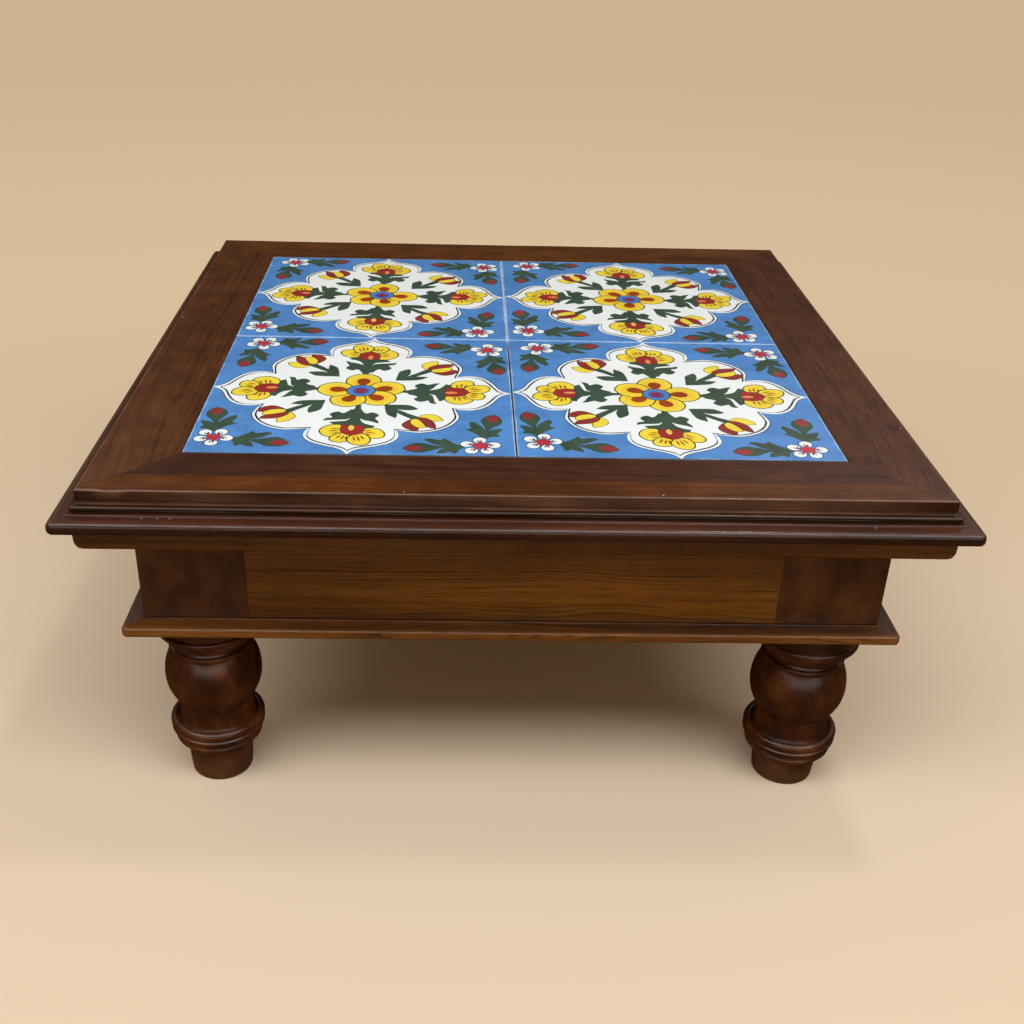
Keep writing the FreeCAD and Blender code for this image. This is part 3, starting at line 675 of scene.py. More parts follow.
def mitred_strip(name, section, turns, tip, planing=HAND_PLANING):
    """A moulding along one side, its section given outwards and upwards at the right. Its
    ends lie in the mitres, a little eased, and its faces wave as hand planing leaves them."""
    section = divided(section)
    count = len(section)
    reach = max(point.x for point in section)
    lifts = []
    for here, point in enumerate(section):
        run = section[(here + 1) % count] - section[here - 1]
        lifts.append(Vector((run.y, -run.x)).normalized())
    straight = 1 - TIP_RUN * tip / reach
    bends = [1 - tip / reach * step / TIP_STATIONS for step in range(TIP_STATIONS, 0, -1)]
    rows = [(-1, 0.0, MITRE_EASE), (-1, MITRE_EASE, 0.0)]
    rows += [(-share, 0.0, 0.0) for share in reversed(bends)]
    rows += [((2 * step / STATIONS - 1) * straight, 0.0, 0.0) for step in range(STATIONS + 1)]
    rows += [(share, 0.0, 0.0) for share in bends]
    rows += [(1, -MITRE_EASE, 0.0), (1, 0.0, MITRE_EASE)]
    turn = Matrix.Rotation(math.pi / 2 * turns, 3, "Z")
    points = []
    for share, pull, sink in rows:
        for (out, height), lift in zip(section, lifts):
            shifted = out * WAVES_OUT + turns * SIDE_SHIFT
            wave = noise.noise(Vector((shifted, share * out * WAVES_ALONG, height * WAVES_UP)))
            moved = planing * (wave - 1) / 2 * (1 - abs(share) ** 6) - sink
            across, along = plan_place(out + lift.x * moved, share, reach, tip)
            points.append(turn @ Vector((across, along + pull, height + lift.y * moved)))
    faces = [list(range(count))]
    faces.append([len(points) - 1 - index for index in range(count)])
    for row in range(len(rows) - 1):
        for here in range(count):
            near = row * count
            after = (here + 1) % count
            faces.append([near + here, near + count + here, near + count + after, near + after])
    return mesh_object(name, points, faces)


def note_strip(piece, turns, edge):
    """Note at each point how far it lies outside an edge that runs along the side."""
    turn = Matrix.Rotation(-math.pi / 2 * turns, 3, "Z")
    depths = [(turn @ vertex.co).x - edge for vertex in piece.data.vertices]
    attribute = piece.data.attributes.new("strip", "FLOAT", "POINT")
    attribute.data.foreach_set("value", depths)


post_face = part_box("corner_post_front_right")[1].x
base_low, base_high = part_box("base_moulding_right")
BASE_INNER = -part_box("base_moulding_front")[1].y
base_step = post_face + BASE_STEP_WIDTH
base_section = rounded([
    (BASE_INNER, base_low.z),
    (base_high.x, base_low.z, BASE_LOWER_ROUND),
    (base_high.x, base_high.z - BASE_FALL, BASE_UPPER_ROUND),
    (base_step, base_high.z - BASE_STEP_HEIGHT),
    (base_step, base_high.z, BASE_STEP_HEIGHT * 0.8),
    (BASE_INNER, base_high.z),
])
base_wood = lacquered_wood(
    "base_wood", BASE_TONES, ring_gap=3.0 * MM, wander=34 * MM, figure=0.8, mottle=0.2,
    bands=[(0, BASE_NOSE_TONES)])
for turns, side in enumerate(SIDES):
    strip = mitred_strip(f"strip_base_moulding_{side}", base_section, turns, BASE_TIP)
    lay_grain(strip, (base_high.x * BASE_PITH_SHARE, base_low.z - BASE_PITH_DROP), turns)
    note_strip(strip, turns, base_high.x - BASE_NOSE_DEPTH)
    polish(strip, base_wood)
    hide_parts(f"base_moulding_{side}")
    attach(strip, "root")


# Cleats and plywood board
# Square battens of plain hardwood are screwed to the aprons' inner faces, and carry a
# sheet of plywood. Neither is stained, and both show only from below.
CLEAT_EASE = 0.6 * MM
RAW_STOPS = (0.32, 0.5, 0.68)
RAW_TONES = (colour(120, 84, 50), colour(158, 118, 76), colour(184, 146, 100))
PLY_TONES = (colour(132, 96, 58), colour(186, 148, 102), colour(186, 148, 102))
PLY_SHEETS = 5


def raw_wood(name, tones, along, across, sheets=0.0):
    """Unfinished wood on object coordinates, dull and a little furry. With sheets, its
    edges show so many bands to the metre."""
    material, nodes = new_material(name)
    place = nodes.make("ShaderNodeTexCoord", {}, {}, out="Object")
    stretch = {0: place, 1: (along, across, across)}
    drawn = nodes.make("ShaderNodeVectorMath", {"operation": "MULTIPLY"}, stretch)
    streaks = speckle(drawn, 1.0, detail=4.0)
    figure = streaks * 0.7 + speckle(place, 9.0) * 0.3
    if sheets:
        sheet = nodes.math("FLOOR", place.axis("Z") * sheets)
        band = nodes.make("ShaderNodeTexWhiteNoise", {"noise_dimensions": "1D"}, {"W": sheet})
        figure = figure * 0.75 + band * 0.25
    surfaced(nodes, stained(figure, tones, RAW_STOPS), 0.62 + streaks * 0.2, streaks, 0.4, 0.5 * MM)
    return material


def redress(node, material):
    """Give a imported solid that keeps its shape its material."""
    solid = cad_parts[node].data
    solid.materials.clear()
    solid.materials.append(material)


cleat_side_wood = raw_wood("cleat_wood_sides", RAW_TONES, 160, 6)
cleat_front_wood = raw_wood("cleat_wood_front", RAW_TONES, 6, 160)
for turns, side in enumerate(SIDES):
    node = f"cleat_{side}"
    batten = packed_copy(f"batten_{node}", node, ease=CLEAT_EASE)
    polish(batten, cleat_front_wood if turns % 2 else cleat_side_wood)
    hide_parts(node)
    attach(batten, "root")

for node in ("top_frame_splines", "cornice_splines"):
    redress(node, cleat_side_wood)

ply_low, ply_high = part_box("tile_board")
ply_sheets = PLY_SHEETS / (ply_high.z - ply_low.z)
redress("tile_board", raw_wood("plywood", PLY_TONES, 5, 70, ply_sheets))


# Ovolo mouldings
# Under the cornice runs a small mitred moulding with a quarter round towards the floor.
# It is pinned to the aprons, and its rounded face catches a little light from below.
OVOLO_ROUND = 9.5 * MM
OVOLO_TIP = 2.0 * MM
OVOLO_DROP = 2.2 * MM
OVOLO_PITH_SHARE = 0.8
OVOLO_PITH_DROP = 50 * MM
OVOLO_TONES = (colour(64, 37, 11), colour(81, 48, 16), colour(100, 62, 23))

ovolo_low, ovolo_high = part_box("ovolo_moulding_right")
apron_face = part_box("apron_right")[1].x
ovolo_foot = ovolo_low.z - OVOLO_DROP
ovolo_section = rounded([
    (apron_face, ovolo_foot),
    (ovolo_high.x, ovolo_foot, OVOLO_ROUND),
    (ovolo_high.x, ovolo_high.z),
    (apron_face, ovolo_high.z),
])
ovolo_wood = lacquered_wood(
    "ovolo_wood", OVOLO_TONES, ring_gap=2.6 * MM, wander=20 * MM, figure=0.4, mottle=0.2)
for turns, side in enumerate(SIDES):
    strip = mitred_strip(f"strip_ovolo_moulding_{side}", ovolo_section, turns, OVOLO_TIP)
    lay_grain(strip, (apron_face * OVOLO_PITH_SHARE, ovolo_low.z - OVOLO_PITH_DROP), turns)
    polish(strip, ovolo_wood)
    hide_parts(f"ovolo_moulding_{side}")
    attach(strip, "root")


# Cornice
# A mitred frame of thin boards reaches out over the box, with a rounded nose and, inwards,
# a tiny bead and a dark groove. The lower face of the front nose is painted darker, a painted
# shade, and the noses of the other sides are painted paler and greyer, a painted light.
LEDGE_DROP = 1.5 * MM
NOSE_UPPER_ROUND = 3.6 * MM
NOSE_LOWER_ROUND = 3.0 * MM
CORNICE_TIP = 4.0 * MM
LEDGE_BEAD_WIDTH = 1.9 * MM
LEDGE_BEAD_HEIGHT = 0.8 * MM
GROOVE_DEPTH = 1.6 * MM
CORNICE_PITH_SHARE = 0.7
CORNICE_PITH_DROP = 35 * MM
CORNICE_TONES = (colour(58, 28, 14), colour(72, 37, 20), colour(90, 50, 28))
# Painted shade: the lower face of the front nose is painted darker than the wood
NOSE_SHADE_DEPTH = 1.0 * MM
NOSE_PAINTED_SHADE = (colour(38, 15, 6), colour(50, 23, 10), colour(64, 33, 16))
# Painted light: the side boards' noses are painted paler and greyer than the wood
SIDE_NOSE_PAINTED_LIGHT = (colour(66, 48, 30), colour(82, 62, 43), colour(98, 78, 58))

cornice_low, cornice_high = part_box("cornice_right")
bead_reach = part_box("top_rail_right")[1].x
cornice_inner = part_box("apron_right")[0].x
ledge = cornice_high.z - LEDGE_DROP
ledge_bead = bead_reach + LEDGE_BEAD_WIDTH
cornice_section = rounded([
    (cornice_inner, cornice_low.z),
    (cornice_high.x, cornice_low.z, NOSE_LOWER_ROUND),
    (cornice_high.x, ledge, NOSE_UPPER_ROUND),
    (ledge_bead, ledge),
    (ledge_bead, ledge + LEDGE_BEAD_HEIGHT, LEDGE_BEAD_HEIGHT * 0.8),
    (bead_reach, ledge + LEDGE_BEAD_HEIGHT, LEDGE_BEAD_HEIGHT * 0.4),
    (bead_reach, ledge),
    (bead_reach - GROOVE_DEPTH, ledge),
    (bead_reach - GROOVE_DEPTH, cornice_high.z),
    (cornice_inner, cornice_high.z),
])
nose_bands = {
    "cornice_wood": [(NOSE_UPPER_ROUND - NOSE_SHADE_DEPTH, NOSE_PAINTED_SHADE)],
    "side_cornice_wood": [(0, SIDE_NOSE_PAINTED_LIGHT)],
}
front_cornice, side_cornice = (
    lacquered_wood(
        name, CORNICE_TONES, ring_gap=3.2 * MM, wander=30 * MM, figure=0.5, mottle=0.2, bands=bands)
    for name, bands in nose_bands.items()
)
for turns, side in enumerate(SIDES):
    strip = mitred_strip(f"strip_cornice_{side}", cornice_section, turns, CORNICE_TIP)
    lay_grain(strip, (cornice_inner * CORNICE_PITH_SHARE, cornice_low.z - CORNICE_PITH_DROP), turns)
    note_strip(strip, turns, cornice_high.x - NOSE_UPPER_ROUND)
    polish(strip, front_cornice if side == "front" else side_cornice)
    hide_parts(f"cornice_{side}")
    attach(strip, "root")


# Top rails
# The frame round the tiles is four flat boards, mitred and splined at the corners, with a
# bead between two grooves along the foot. Their outer edges are painted pale, partly as wear
# and partly as a painted highlight, and their faces and beads below are painted dark as a
# painted shade. The front board has a paler strip outside, and a dip worn in its edge near
# the left corner.
BEAD_REACH = 3.5 * MM
BEAD_THICKNESS = 2.8 * MM
BEAD_ROUND = 1.3 * MM
BEAD_LIFT = 0.7 * MM
QUIRK_HEIGHT = 1.8 * MM
QUIRK_DEPTH = 0.9 * MM
RAIL_EDGE_ROUND = 1.2 * MM
RAIL_INNER_ROUND = 0.4 * MM
RAIL_TIP = 1.6 * MM
PALE_STRIP = 19.5 * MM
RAIL_PITH_SHARE = 0.55
RAIL_PITH_DROP = 25 * MM
RAIL_PLANING = 0.45 * MM
WORN_PLACE = Vector((-232, -252, 240)) * MM
WORN_REACH = 12 * MM
WORN_DEPTH = 1.1 * MM
WORN_TOWARDS = Vector((0, 0.5, -1))
RAIL_TONES = {
    "right": (colour(64, 33, 15), colour(78, 42, 22), colour(94, 53, 29)),
    "back": (colour(74, 39, 13), colour(95, 53, 20), colour(114, 67, 28)),
    "left": (colour(66, 34, 15), colour(84, 46, 23), colour(102, 59, 31)),
    "front": (colour(58, 31, 17), colour(73, 41, 25), colour(90, 54, 34)),
}
STRIP_TONES = (colour(72, 36, 11), colour(90, 47, 16), colour(112, 63, 26))
# Painted shade: the rails' vertical faces, quirks and beads are painted darker than their tops
SHADED_FACE_TONES = (colour(40, 16, 1), colour(54, 24, 3), colour(70, 35, 9))
# Wear and painted highlight: the rails' outer arris is painted pale
WORN_EDGE_AND_HIGHLIGHT_TONES = (colour(92, 60, 42), colour(112, 78, 58), colour(132, 98, 78))
EDGE_WIDTH = 1.4 * MM
FACE_MARGIN = 0.3 * MM
RAIL_OPENNESS = {"right": 0.68, "back": 0.5, "left": 0.5, "front": 0.5}

rail_low, rail_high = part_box("top_rail_right")
tiles_edge = -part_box("top_rail_front")[1].y
rail_face = rail_high.x - BEAD_REACH
bead_low = rail_low.z + BEAD_LIFT
bead_top = bead_low + BEAD_THICKNESS
rail_section = rounded([
    (tiles_edge, rail_low.z),
    (rail_high.x - GROOVE_DEPTH, rail_low.z),
    (rail_high.x - GROOVE_DEPTH, bead_low),
    (rail_high.x, bead_low, BEAD_ROUND),
    (rail_high.x, bead_top, BEAD_ROUND),
    (rail_face - QUIRK_DEPTH, bead_top),
    (rail_face - QUIRK_DEPTH, bead_top + QUIRK_HEIGHT),
    (rail_face, bead_top + QUIRK_HEIGHT, QUIRK_DEPTH * 0.4),
    (rail_face, rail_high.z, RAIL_EDGE_ROUND),
    (tiles_edge, rail_high.z, RAIL_INNER_ROUND),
])
for turns, side in enumerate(SIDES):
    strip = mitred_strip(f"strip_top_rail_{side}", rail_section, turns, RAIL_TIP, RAIL_PLANING)
    for vertex in strip.data.vertices:
        nearness = max(0, 1 - (vertex.co - WORN_PLACE).length / WORN_REACH)
        vertex.co += WORN_TOWARDS * WORN_DEPTH * nearness ** 2
    lay_grain(strip, (rail_face * RAIL_PITH_SHARE, rail_low.z - RAIL_PITH_DROP), turns)
    note_strip(strip, turns, rail_face - PALE_STRIP)
    bands = [(0, STRIP_TONES)] if side == "front" else []
    bands += [(PALE_STRIP - EDGE_WIDTH, WORN_EDGE_AND_HIGHLIGHT_TONES), (PALE_STRIP - FACE_MARGIN, SHADED_FACE_TONES)]
    rail_wood = lacquered_wood(
        f"{side}_rail_wood", RAIL_TONES[side], ring_gap=3.6 * MM, wander=36 * MM, figure=0.55,
        mottle=0.5, bands=bands, openness=RAIL_OPENNESS[side])
    polish(strip, rail_wood)
    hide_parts(f"top_rail_{side}")
    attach(strip, "root")


# Screws and pins
# Countersunk cross-head screws of zinc plated steel hold the frame, the cleats, the board
# and the base mouldings, and plain wire pins hold the ovolo. Only some heads show, below.
PROUD = 0.12 * MM
POINT_SHARE = 0.1
STEEL = colour(196, 194, 188)
STEEL_DULL = colour(140, 136, 128)

steel, nodes = new_material("zinc_plated_steel")
tarnish = speckle(nodes.make("ShaderNodeTexCoord", {}, {}, out="Object"), 260, detail=3.0)
tone = tinted(STEEL_DULL, STEEL, step_between(tarnish, 0.35, 0.6))
surfaced(nodes, tone, 0.5 - tarnish * 0.25, tarnish, 0.2, 0.1 * MM, {"Metallic": 0.95})

screw_sizes = {
    "Shank Radius": 1.9 * MM, "Head Radius": 4.0 * MM, "Head Height": 2.6 * MM,
    "Tip Length": 3.0 * MM, "Recess Width": 0.9 * MM, "Recess Span": 3.6 * MM,
    "Recess Depth": 1.5 * MM,
}


def new_tree(name, sizes, coating):
    """A node tree with points, sizes, a seed and a coating as its named inputs, and a
    Value to add its nodes with."""
    tree = bpy.data.node_groups.new(name, "GeometryNodeTree")
    inputs = [("Geometry", "Geometry"), *[(size, "Float") for size in sizes]]
    for label, kind in inputs + [("Seed", "Int"), (coating, "Material")]:
        tree.interface.new_socket(label, in_out="INPUT", socket_type=f"NodeSocket{kind}")
    tree.interface.new_socket("Geometry", in_out="OUTPUT", socket_type="NodeSocketGeometry")
    return tree, Value(tree).make("NodeGroupInput", {}, {})


def set_on_points(given, part, placing, coating):
    """End a tree: a copy of the part on every point, made real and given its coating."""
    points = given.make("GeometryNodeMeshToPoints", {}, {"Mesh": given.out("Geometry")})
    copies = {"Points": points, "Instance": part, **placing}
    placed = given.make("GeometryNodeInstanceOnPoints", {}, copies)
    real = given.make("GeometryNodeRealizeInstances", {}, {"Geometry": placed})
    coat = {"Geometry": real, "Material": given.out(coating)}
    given.make("NodeGroupOutput", {}, {"Geometry": given.make("GeometryNodeSetMaterial", {}, coat)})


def cone(given, low_radius, high_radius, depth, start=0.0, vertices=24):
    """A cone or a rod in a node tree, from a start along the upright axis."""
    sizes = {"Vertices": vertices, "Radius Bottom": low_radius, "Radius Top": high_radius, "Depth": depth}
    body = given.make("GeometryNodeMeshCone", {}, sizes, out="Mesh")
    place = given.make("ShaderNodeCombineXYZ", {}, {"Z": start})
    return given.make("GeometryNodeTransform", {}, {"Geometry": body, "Translation": place})


def screw_tree():
    """A node tree that sets a screw on every point, along the point's own axis."""
    tree, given = new_tree("countersunk_screws", ["Length", *screw_sizes], "Steel")
    length, shank = given.out("Length"), given.out("Shank Radius")
    head_height, tip = given.out("Head Height"), given.out("Tip Length")
    head = cone(given, given.out("Head Radius"), shank, head_height)
    width, span, depth = (given.out(f"Recess {size}") for size in ("Width", "Span", "Depth"))
    for size in ({"X": span, "Y": width, "Z": depth * 2}, {"X": width, "Y": span, "Z": depth * 2}):
        bar = given.make("ShaderNodeCombineXYZ", {}, size)
        box = given.make("GeometryNodeMeshCube", {}, {"Size": bar})
        cut = {"operation": "DIFFERENCE", "solver": "EXACT"}
        head = given.make("GeometryNodeMeshBoolean", cut, {"Mesh 1": head, "Mesh 2": box})
    shank_part = cone(given, shank, shank, length - head_height - tip, head_height)
    tip_part = cone(given, shank, shank * POINT_SHARE, tip, length - tip)
    screw = given.make("GeometryNodeJoinGeometry", {}, {})
    for part in (head, shank_part, tip_part):
        tree.links.new(part.socket, screw.socket.node.inputs[0])
    vector = {"data_type": "FLOAT_VECTOR"}
    axis = given.make("GeometryNodeInputNamedAttribute", vector, {"Name": "axis"})
    aim = given.make("FunctionNodeAlignRotationToVector", {"axis": "Z"}, {"Vector": axis})
    any_turn = {3: math.tau, "Seed": given.out("Seed")}
    twist = given.make("FunctionNodeRandomValue", {"data_type": "FLOAT"}, any_turn, out=1)
    spin = given.make("FunctionNodeAxisAngleToRotation", {}, {"Angle": twist})
    turned = given.make(
        "FunctionNodeRotateRotation", {"rotation_space": "LOCAL"}, {"Rotation": aim, "Rotate By": spin})
    set_on_points(given, screw, {"Rotation": turned}, "Steel")
    return tree


def run_tree(holder, tree, inputs):
    """Put a node tree on a piece with its inputs, and keep what it makes as a plain mesh."""
    modifier = holder.modifiers.new(tree.name, "NODES")
    modifier.node_group = tree
    for item in tree.interface.items_tree:
        if item.in_out == "INPUT" and item.name in inputs:
            modifier[item.identifier] = inputs[item.name]
    settle(holder)


screws_in_place = screw_tree()
cleat_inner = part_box("cleat_right")[0].x
screw_rows = [
    ("top_frame_screws", 120 * MM, True),
    ("cleat_screws", 112 * MM, False),
    ("board_screws", 60 * MM, True),
    ("base_screws", 100 * MM, True),
]
for seed, (node, offset, upright) in enumerate(screw_rows):
    low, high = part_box(node)
    out = high.x - screw_sizes["Head Radius"] if upright else cleat_inner - PROUD
    height = low.z - PROUD if upright else (low.z + high.z) / 2
    length = high.z - low.z if upright else high.x - cleat_inner
    heads = []
    axes = []
    for turns in range(len(SIDES)):
        turn = Matrix.Rotation(math.pi / 2 * turns, 3, "Z")
        for sign in (-1, 1):
            heads.append(turn @ Vector((out, sign * offset, height)))
            axes += (0, 0, 1) if upright else tuple(turn @ Vector((1, 0, 0)))
    screws = mesh_object(f"steel_{node}", heads, [])
    screws.data.attributes.new("axis", "FLOAT_VECTOR", "POINT").data.foreach_set("vector", axes)
    inputs = {**screw_sizes, "Length": length, "Seed": seed, "Steel": steel}
    run_tree(screws, screws_in_place, inputs)
    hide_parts(node)
    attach(screws, "root")
redress("ovolo_pins", steel)


# Nail fillings
# Thin nails fix the rails and the cornice to what lies below. Their sunk heads are covered
# with dabs of putty, which has dried paler than the stain, near the rails' outer edges.
FILLING_RADIUS = 0.9 * MM
FILLING_HEIGHT = 0.3 * MM
FILLING_PROUD = 0.04 * MM
FILLING_INSET = 3.2 * MM
FILLING_TAPER = 0.7
FILLING_SHARES = (0.5, 1.1)
LEDGE_FILLING_GAP = 1.2 * MM
SURFACE_REACH = 3 * MM
FILLING_PLACES = {
    "right": (-150, 20, 165), "back": (-140, 60), "left": (-172, -40, 130), "front": (-66, 82),
}
LEDGE_FILLING_PLACES = (-214, -205, -198, 204)
PUTTY_DARK = colour(120, 88, 66)
PUTTY_PALE = colour(206, 182, 156)

putty, nodes = new_material("nail_putty")
crumbs = speckle(nodes.make("ShaderNodeTexCoord", {}, {}, out="Object"), 1500, detail=2.0)
tone = tinted(PUTTY_DARK, PUTTY_PALE, step_between(crumbs, 0.35, 0.65))
surfaced(nodes, tone, 0.6 + crumbs * 0.2, crumbs, 0.4, 0.2 * MM)


def dab_tree():
    """A node tree that sets a flat dab of putty on every point, each a little different."""
    tree, given = new_tree("putty_dabs", ("Radius", "Height", "Smallest", "Largest"), "Putty")
    radius, smallest = given.out("Radius"), given.out("Smallest")
    dab = cone(given, radius, radius * FILLING_TAPER, given.out("Height"), vertices=14)
    limits = {0: (0.0, 0.0, 0.0), 1: (1.0, 1.0, 0.0), "Seed": given.out("Seed")}
    chance = given.make("FunctionNodeRandomValue", {"data_type": "FLOAT_VECTOR"}, limits)
    extra = {0: chance, "Scale": given.out("Largest") - smallest}
    shares = given.make("ShaderNodeVectorMath", {"operation": "SCALE"}, extra)
    least = given.make("ShaderNodeCombineXYZ", {}, {"X": smallest, "Y": smallest, "Z": 1.0})
    size = given.make("ShaderNodeVectorMath", {"operation": "ADD"}, {0: shares, 1: least})
    set_on_points(given, dab, {"Scale": size}, "Putty")
    return tree


def surface_under(piece_name, spot):
    """The upper surface of a moulding at a place, from its nearest points in plan."""
    near = [vertex.co for vertex in bpy.data.objects[piece_name].data.vertices]
    reach = min((point.xy - spot.xy).length for point in near) + SURFACE_REACH
    return max(point.z for point in near if (point.xy - spot.xy).length < reach)


filling_points = []
for turns, side in enumerate(SIDES):
    turn = Matrix.Rotation(math.pi / 2 * turns, 3, "Z")
    for along in FILLING_PLACES[side]:
        spot = turn @ Vector((rail_face - FILLING_INSET, along * MM, 0))
        spot.z = surface_under(f"strip_top_rail_{side}", spot)
        filling_points.append(spot)
    for along in LEDGE_FILLING_PLACES:
        spot = turn @ Vector((ledge_bead + LEDGE_FILLING_GAP, along * MM, 0))
        spot.z = ledge - HAND_PLANING / 2
        filling_points.append(spot)
for spot in filling_points:
    spot.z += FILLING_PROUD - FILLING_HEIGHT
fillings = mesh_object("nail_fillings", filling_points, [])
run_tree(fillings, dab_tree(), {
    "Radius": FILLING_RADIUS, "Height": FILLING_HEIGHT, "Smallest": FILLING_SHARES[0],
    "Largest": FILLING_SHARES[1], "Seed": 3, "Putty": putty,
})
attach(fillings, "root")


# Tile bed and joints
# The tiles lie in a bed of grey cement on the plywood. The joints between them are filled
# with a pale cement, a little hollow and stained, which is missing at the front, where the
# joint is painted dark as a painted shade.
BED_TONES = (colour(112, 109, 103), colour(150, 147, 140))
GROUT_TONES = (colour(150, 152, 150), colour(226, 228, 224))
# Painted shade: the dark of the open front joint and the front gap
JOINT_PAINTED_SHADE = colour(12, 24, 34)


def cement(name, tones, front_shade=None):
    """Matt cement with fine sand in it and some stain. With a front shade it is painted dark towards the
    front, a painted shade in the deep joint there.
    """
    material, nodes = new_material(name)
    place = nodes.make("ShaderNodeTexCoord", {}, {}, out="Object")
    sand = speckle(place, 2200, detail=2.0)
    stain = speckle(place, 70, detail=3.0)
    tone = tinted(*tones, step_between(stain * 0.7 + sand * 0.3, 0.36, 0.56))
    if front_shade:
        tone = tinted(front_shade, tone, step_between(place.axis("Y") + stain * (20 * MM), -20 * MM, 0))
    surfaced(nodes, tone, 0.75 + sand * 0.2, sand, 0.5, 0.3 * MM)
    return material


redress("tile_adhesive", cement("cement_bed", BED_TONES))
redress("tile_grout", cement("joint_cement", GROUT_TONES, JOINT_PAINTED_SHADE))


# Painted tiles
# Four square tiles of buff clay carry the same traditional flower pattern, painted by
# hand through one stencil in coloured glazes: a white lobed medallion on a blue ground.
TILE_SIDE = 201.2
ARRIS = 0.5
ARRIS_STEPS = 4
FACE_HALF = TILE_SIDE / 2 - ARRIS
SAME_POINT = 1e-5
TILE_CREASE = 40
WARP = 0.45
WARP_LENGTH = 24.0
WARP_SEED = 7
PRINT_REACH = 118
# Paler along the tile's edges: where the glaze thins, and partly a painted highlight
THIN_GLAZE_HIGHLIGHT = colour(196, 218, 240)
THIN_GLAZE_HIGHLIGHT_REACH = (0.4935, 0.4968)
JOINT_SHADE_WIDTHS = (0.4 * MM, 0.7 * MM)
JOINT_SHADE_END = (-30 * MM, -5 * MM)
FRONT_GAP_SHADE = (-201.0 * MM, -200.4 * MM)


def glaze(name, tone, variation, pale_edge=0.525):
    """A glossy coloured glaze, a little cloudy, paler along the tile's edges where it thins and
    as a painted highlight, with painted shade in the front joint and along the front gap."""
    material, nodes = new_material(name)
    place = nodes.make("ShaderNodeTexCoord", {}, {}, out="Object")
    clouds = speckle(place, 55, detail=3.0)
    brushing = speckle(place, 420, detail=2.0)
    shade = step_between(clouds * 0.65 + brushing * 0.35, 0.3, 0.7)
    darker = (*[channel * (1 - variation) for channel in tone[:3]], 1.0)
    lighter = (*[min(channel * (1 + variation), 1.0) for channel in tone[:3]], 1.0)
    body = tinted(darker, lighter, shade)
    spot = nodes.make("ShaderNodeUVMap", {"uv_map": "print"}, {})
    # Paler towards the tile's edges: thin glaze, and partly a painted highlight
    right, up = spot.axis("X") - 0.5, spot.axis("Y") - 0.5
    rim = nodes.math("MAXIMUM", right * right, up * up) ** 0.5 + (clouds - 0.5) * 0.012
    body = tinted(body, THIN_GLAZE_HIGHLIGHT, step_between(rim, *THIN_GLAZE_HIGHLIGHT_REACH) * pale_edge)
    # Painted shade: dark in the front joint and along the gap at the front rail
    ahead = place.axis("Y")
    in_joint = 1 - step_between(abs(place.axis("X")), *JOINT_SHADE_WIDTHS)
    painted_shade = in_joint * (1 - step_between(ahead, *JOINT_SHADE_END))
    painted_shade = nodes.math("MAXIMUM", painted_shade, 1 - step_between(ahead, *FRONT_GAP_SHADE))
    body = tinted(body, JOINT_PAINTED_SHADE, painted_shade * 0.9)
    ripple = speckle(place, 90, detail=1.0) * 0.8 + speckle(place, 1100, detail=1.0) * 0.08
    surfaced(nodes, body, 0.10 + brushing * 0.08, ripple, 0.25, 0.6 * MM, {"IOR": 1.5})
    return material


GLAZES = {
    "blue": (colour(87, 140, 204), 0.16),
    "white": (colour(247, 251, 250), 0.03),
    "rim_white": (colour(238, 245, 251), 0.04),
    "ink": (colour(34, 38, 46), 0.15),
    "green": (colour(66, 85, 69), 0.20),
    "yellow": (colour(249, 221, 72), 0.08),
    "amber": (colour(250, 207, 62), 0.06),
    "olive": (colour(74, 64, 18), 0.25),
    "vein": (colour(96, 74, 10), 0.20),
    "scarlet": (colour(160, 52, 42), 0.14),
    "rust": (colour(158, 70, 24), 0.16),
    "crimson": (colour(148, 56, 52), 0.14),
    "bud": (colour(150, 58, 62), 0.16),
    "bud_rim": (colour(108, 74, 66), 0.16),
    "disc": (colour(86, 134, 200), 0.12),
    "violet": (colour(92, 84, 150), 0.16),
    "maroon": (colour(146, 50, 72), 0.14),
    "cream": (colour(238, 204, 104), 0.10),
    "peach": (colour(232, 148, 92), 0.10),
    "smoke": (colour(98, 52, 66), 0.20),
    "rose": (colour(190, 58, 70), 0.16),
}
BISCUIT_DARK = colour(176, 128, 96)
BISCUIT_PALE = colour(206, 164, 130)

biscuit, nodes = new_material("biscuit")
grit = speckle(nodes.make("ShaderNodeTexCoord", {}, {}, out="Object"), 900, detail=3.0)
tone = tinted(BISCUIT_DARK, BISCUIT_PALE, step_between(grit, 0.35, 0.65))
surfaced(nodes, tone, 0.7 + grit * 0.2, grit, 0.5, 0.3 * MM)

glaze_order = list(GLAZES)
glaze_materials = [glaze(f"glaze_{name}", *recipe) for name, recipe in GLAZES.items()]

# Outlines in millimetres from the tile's middle, for the motif that points to the front
# or to the front right corner. A point marked CUSP is a sharp one.
MEDALLION_LOBE = [
    (27.5, -63.5, CUSP), (41.1, -66.4), (48.6, -64.6), (55.3, -60.8),
    (60.8, -55.3), (64.6, -48.6), (66.4, -41.1),
    (63.5, -27.5, CUSP), (69, -29.3), (76, -29), (83, -24.5), (88, -16.5), (91.5, -8.5), (95.5, -3),
    (101, 0, CUSP), (95.5, 3), (91.5, 8.5), (88, 16.5), (83, 24.5), (76, 29), (69, 29.3),
]
MEDALLION_LINE = [
    (26, -61.4, CUSP), (40.8, -63.5), (47.5, -61.9), (53.6, -58.5),
    (58.5, -53.6), (61.9, -47.5), (63.5, -40.8),
    (61.4, -26, CUSP), (68.5, -26.7), (75, -26.3), (81, -22), (85.5, -14.5), (88.5, -7.5), (91, -3),
    (94.5, 0, CUSP), (91, 3), (88.5, 7.5), (85.5, 14.5), (81, 22), (75, 26.3), (68.5, 26.7),
]
MEDALLION_LAYERS = [(MEDALLION_LOBE, "rim_white", 0.7), (MEDALLION_LINE, "white", 1.35)]
PALMETTE_CENTRE = (0, -62)
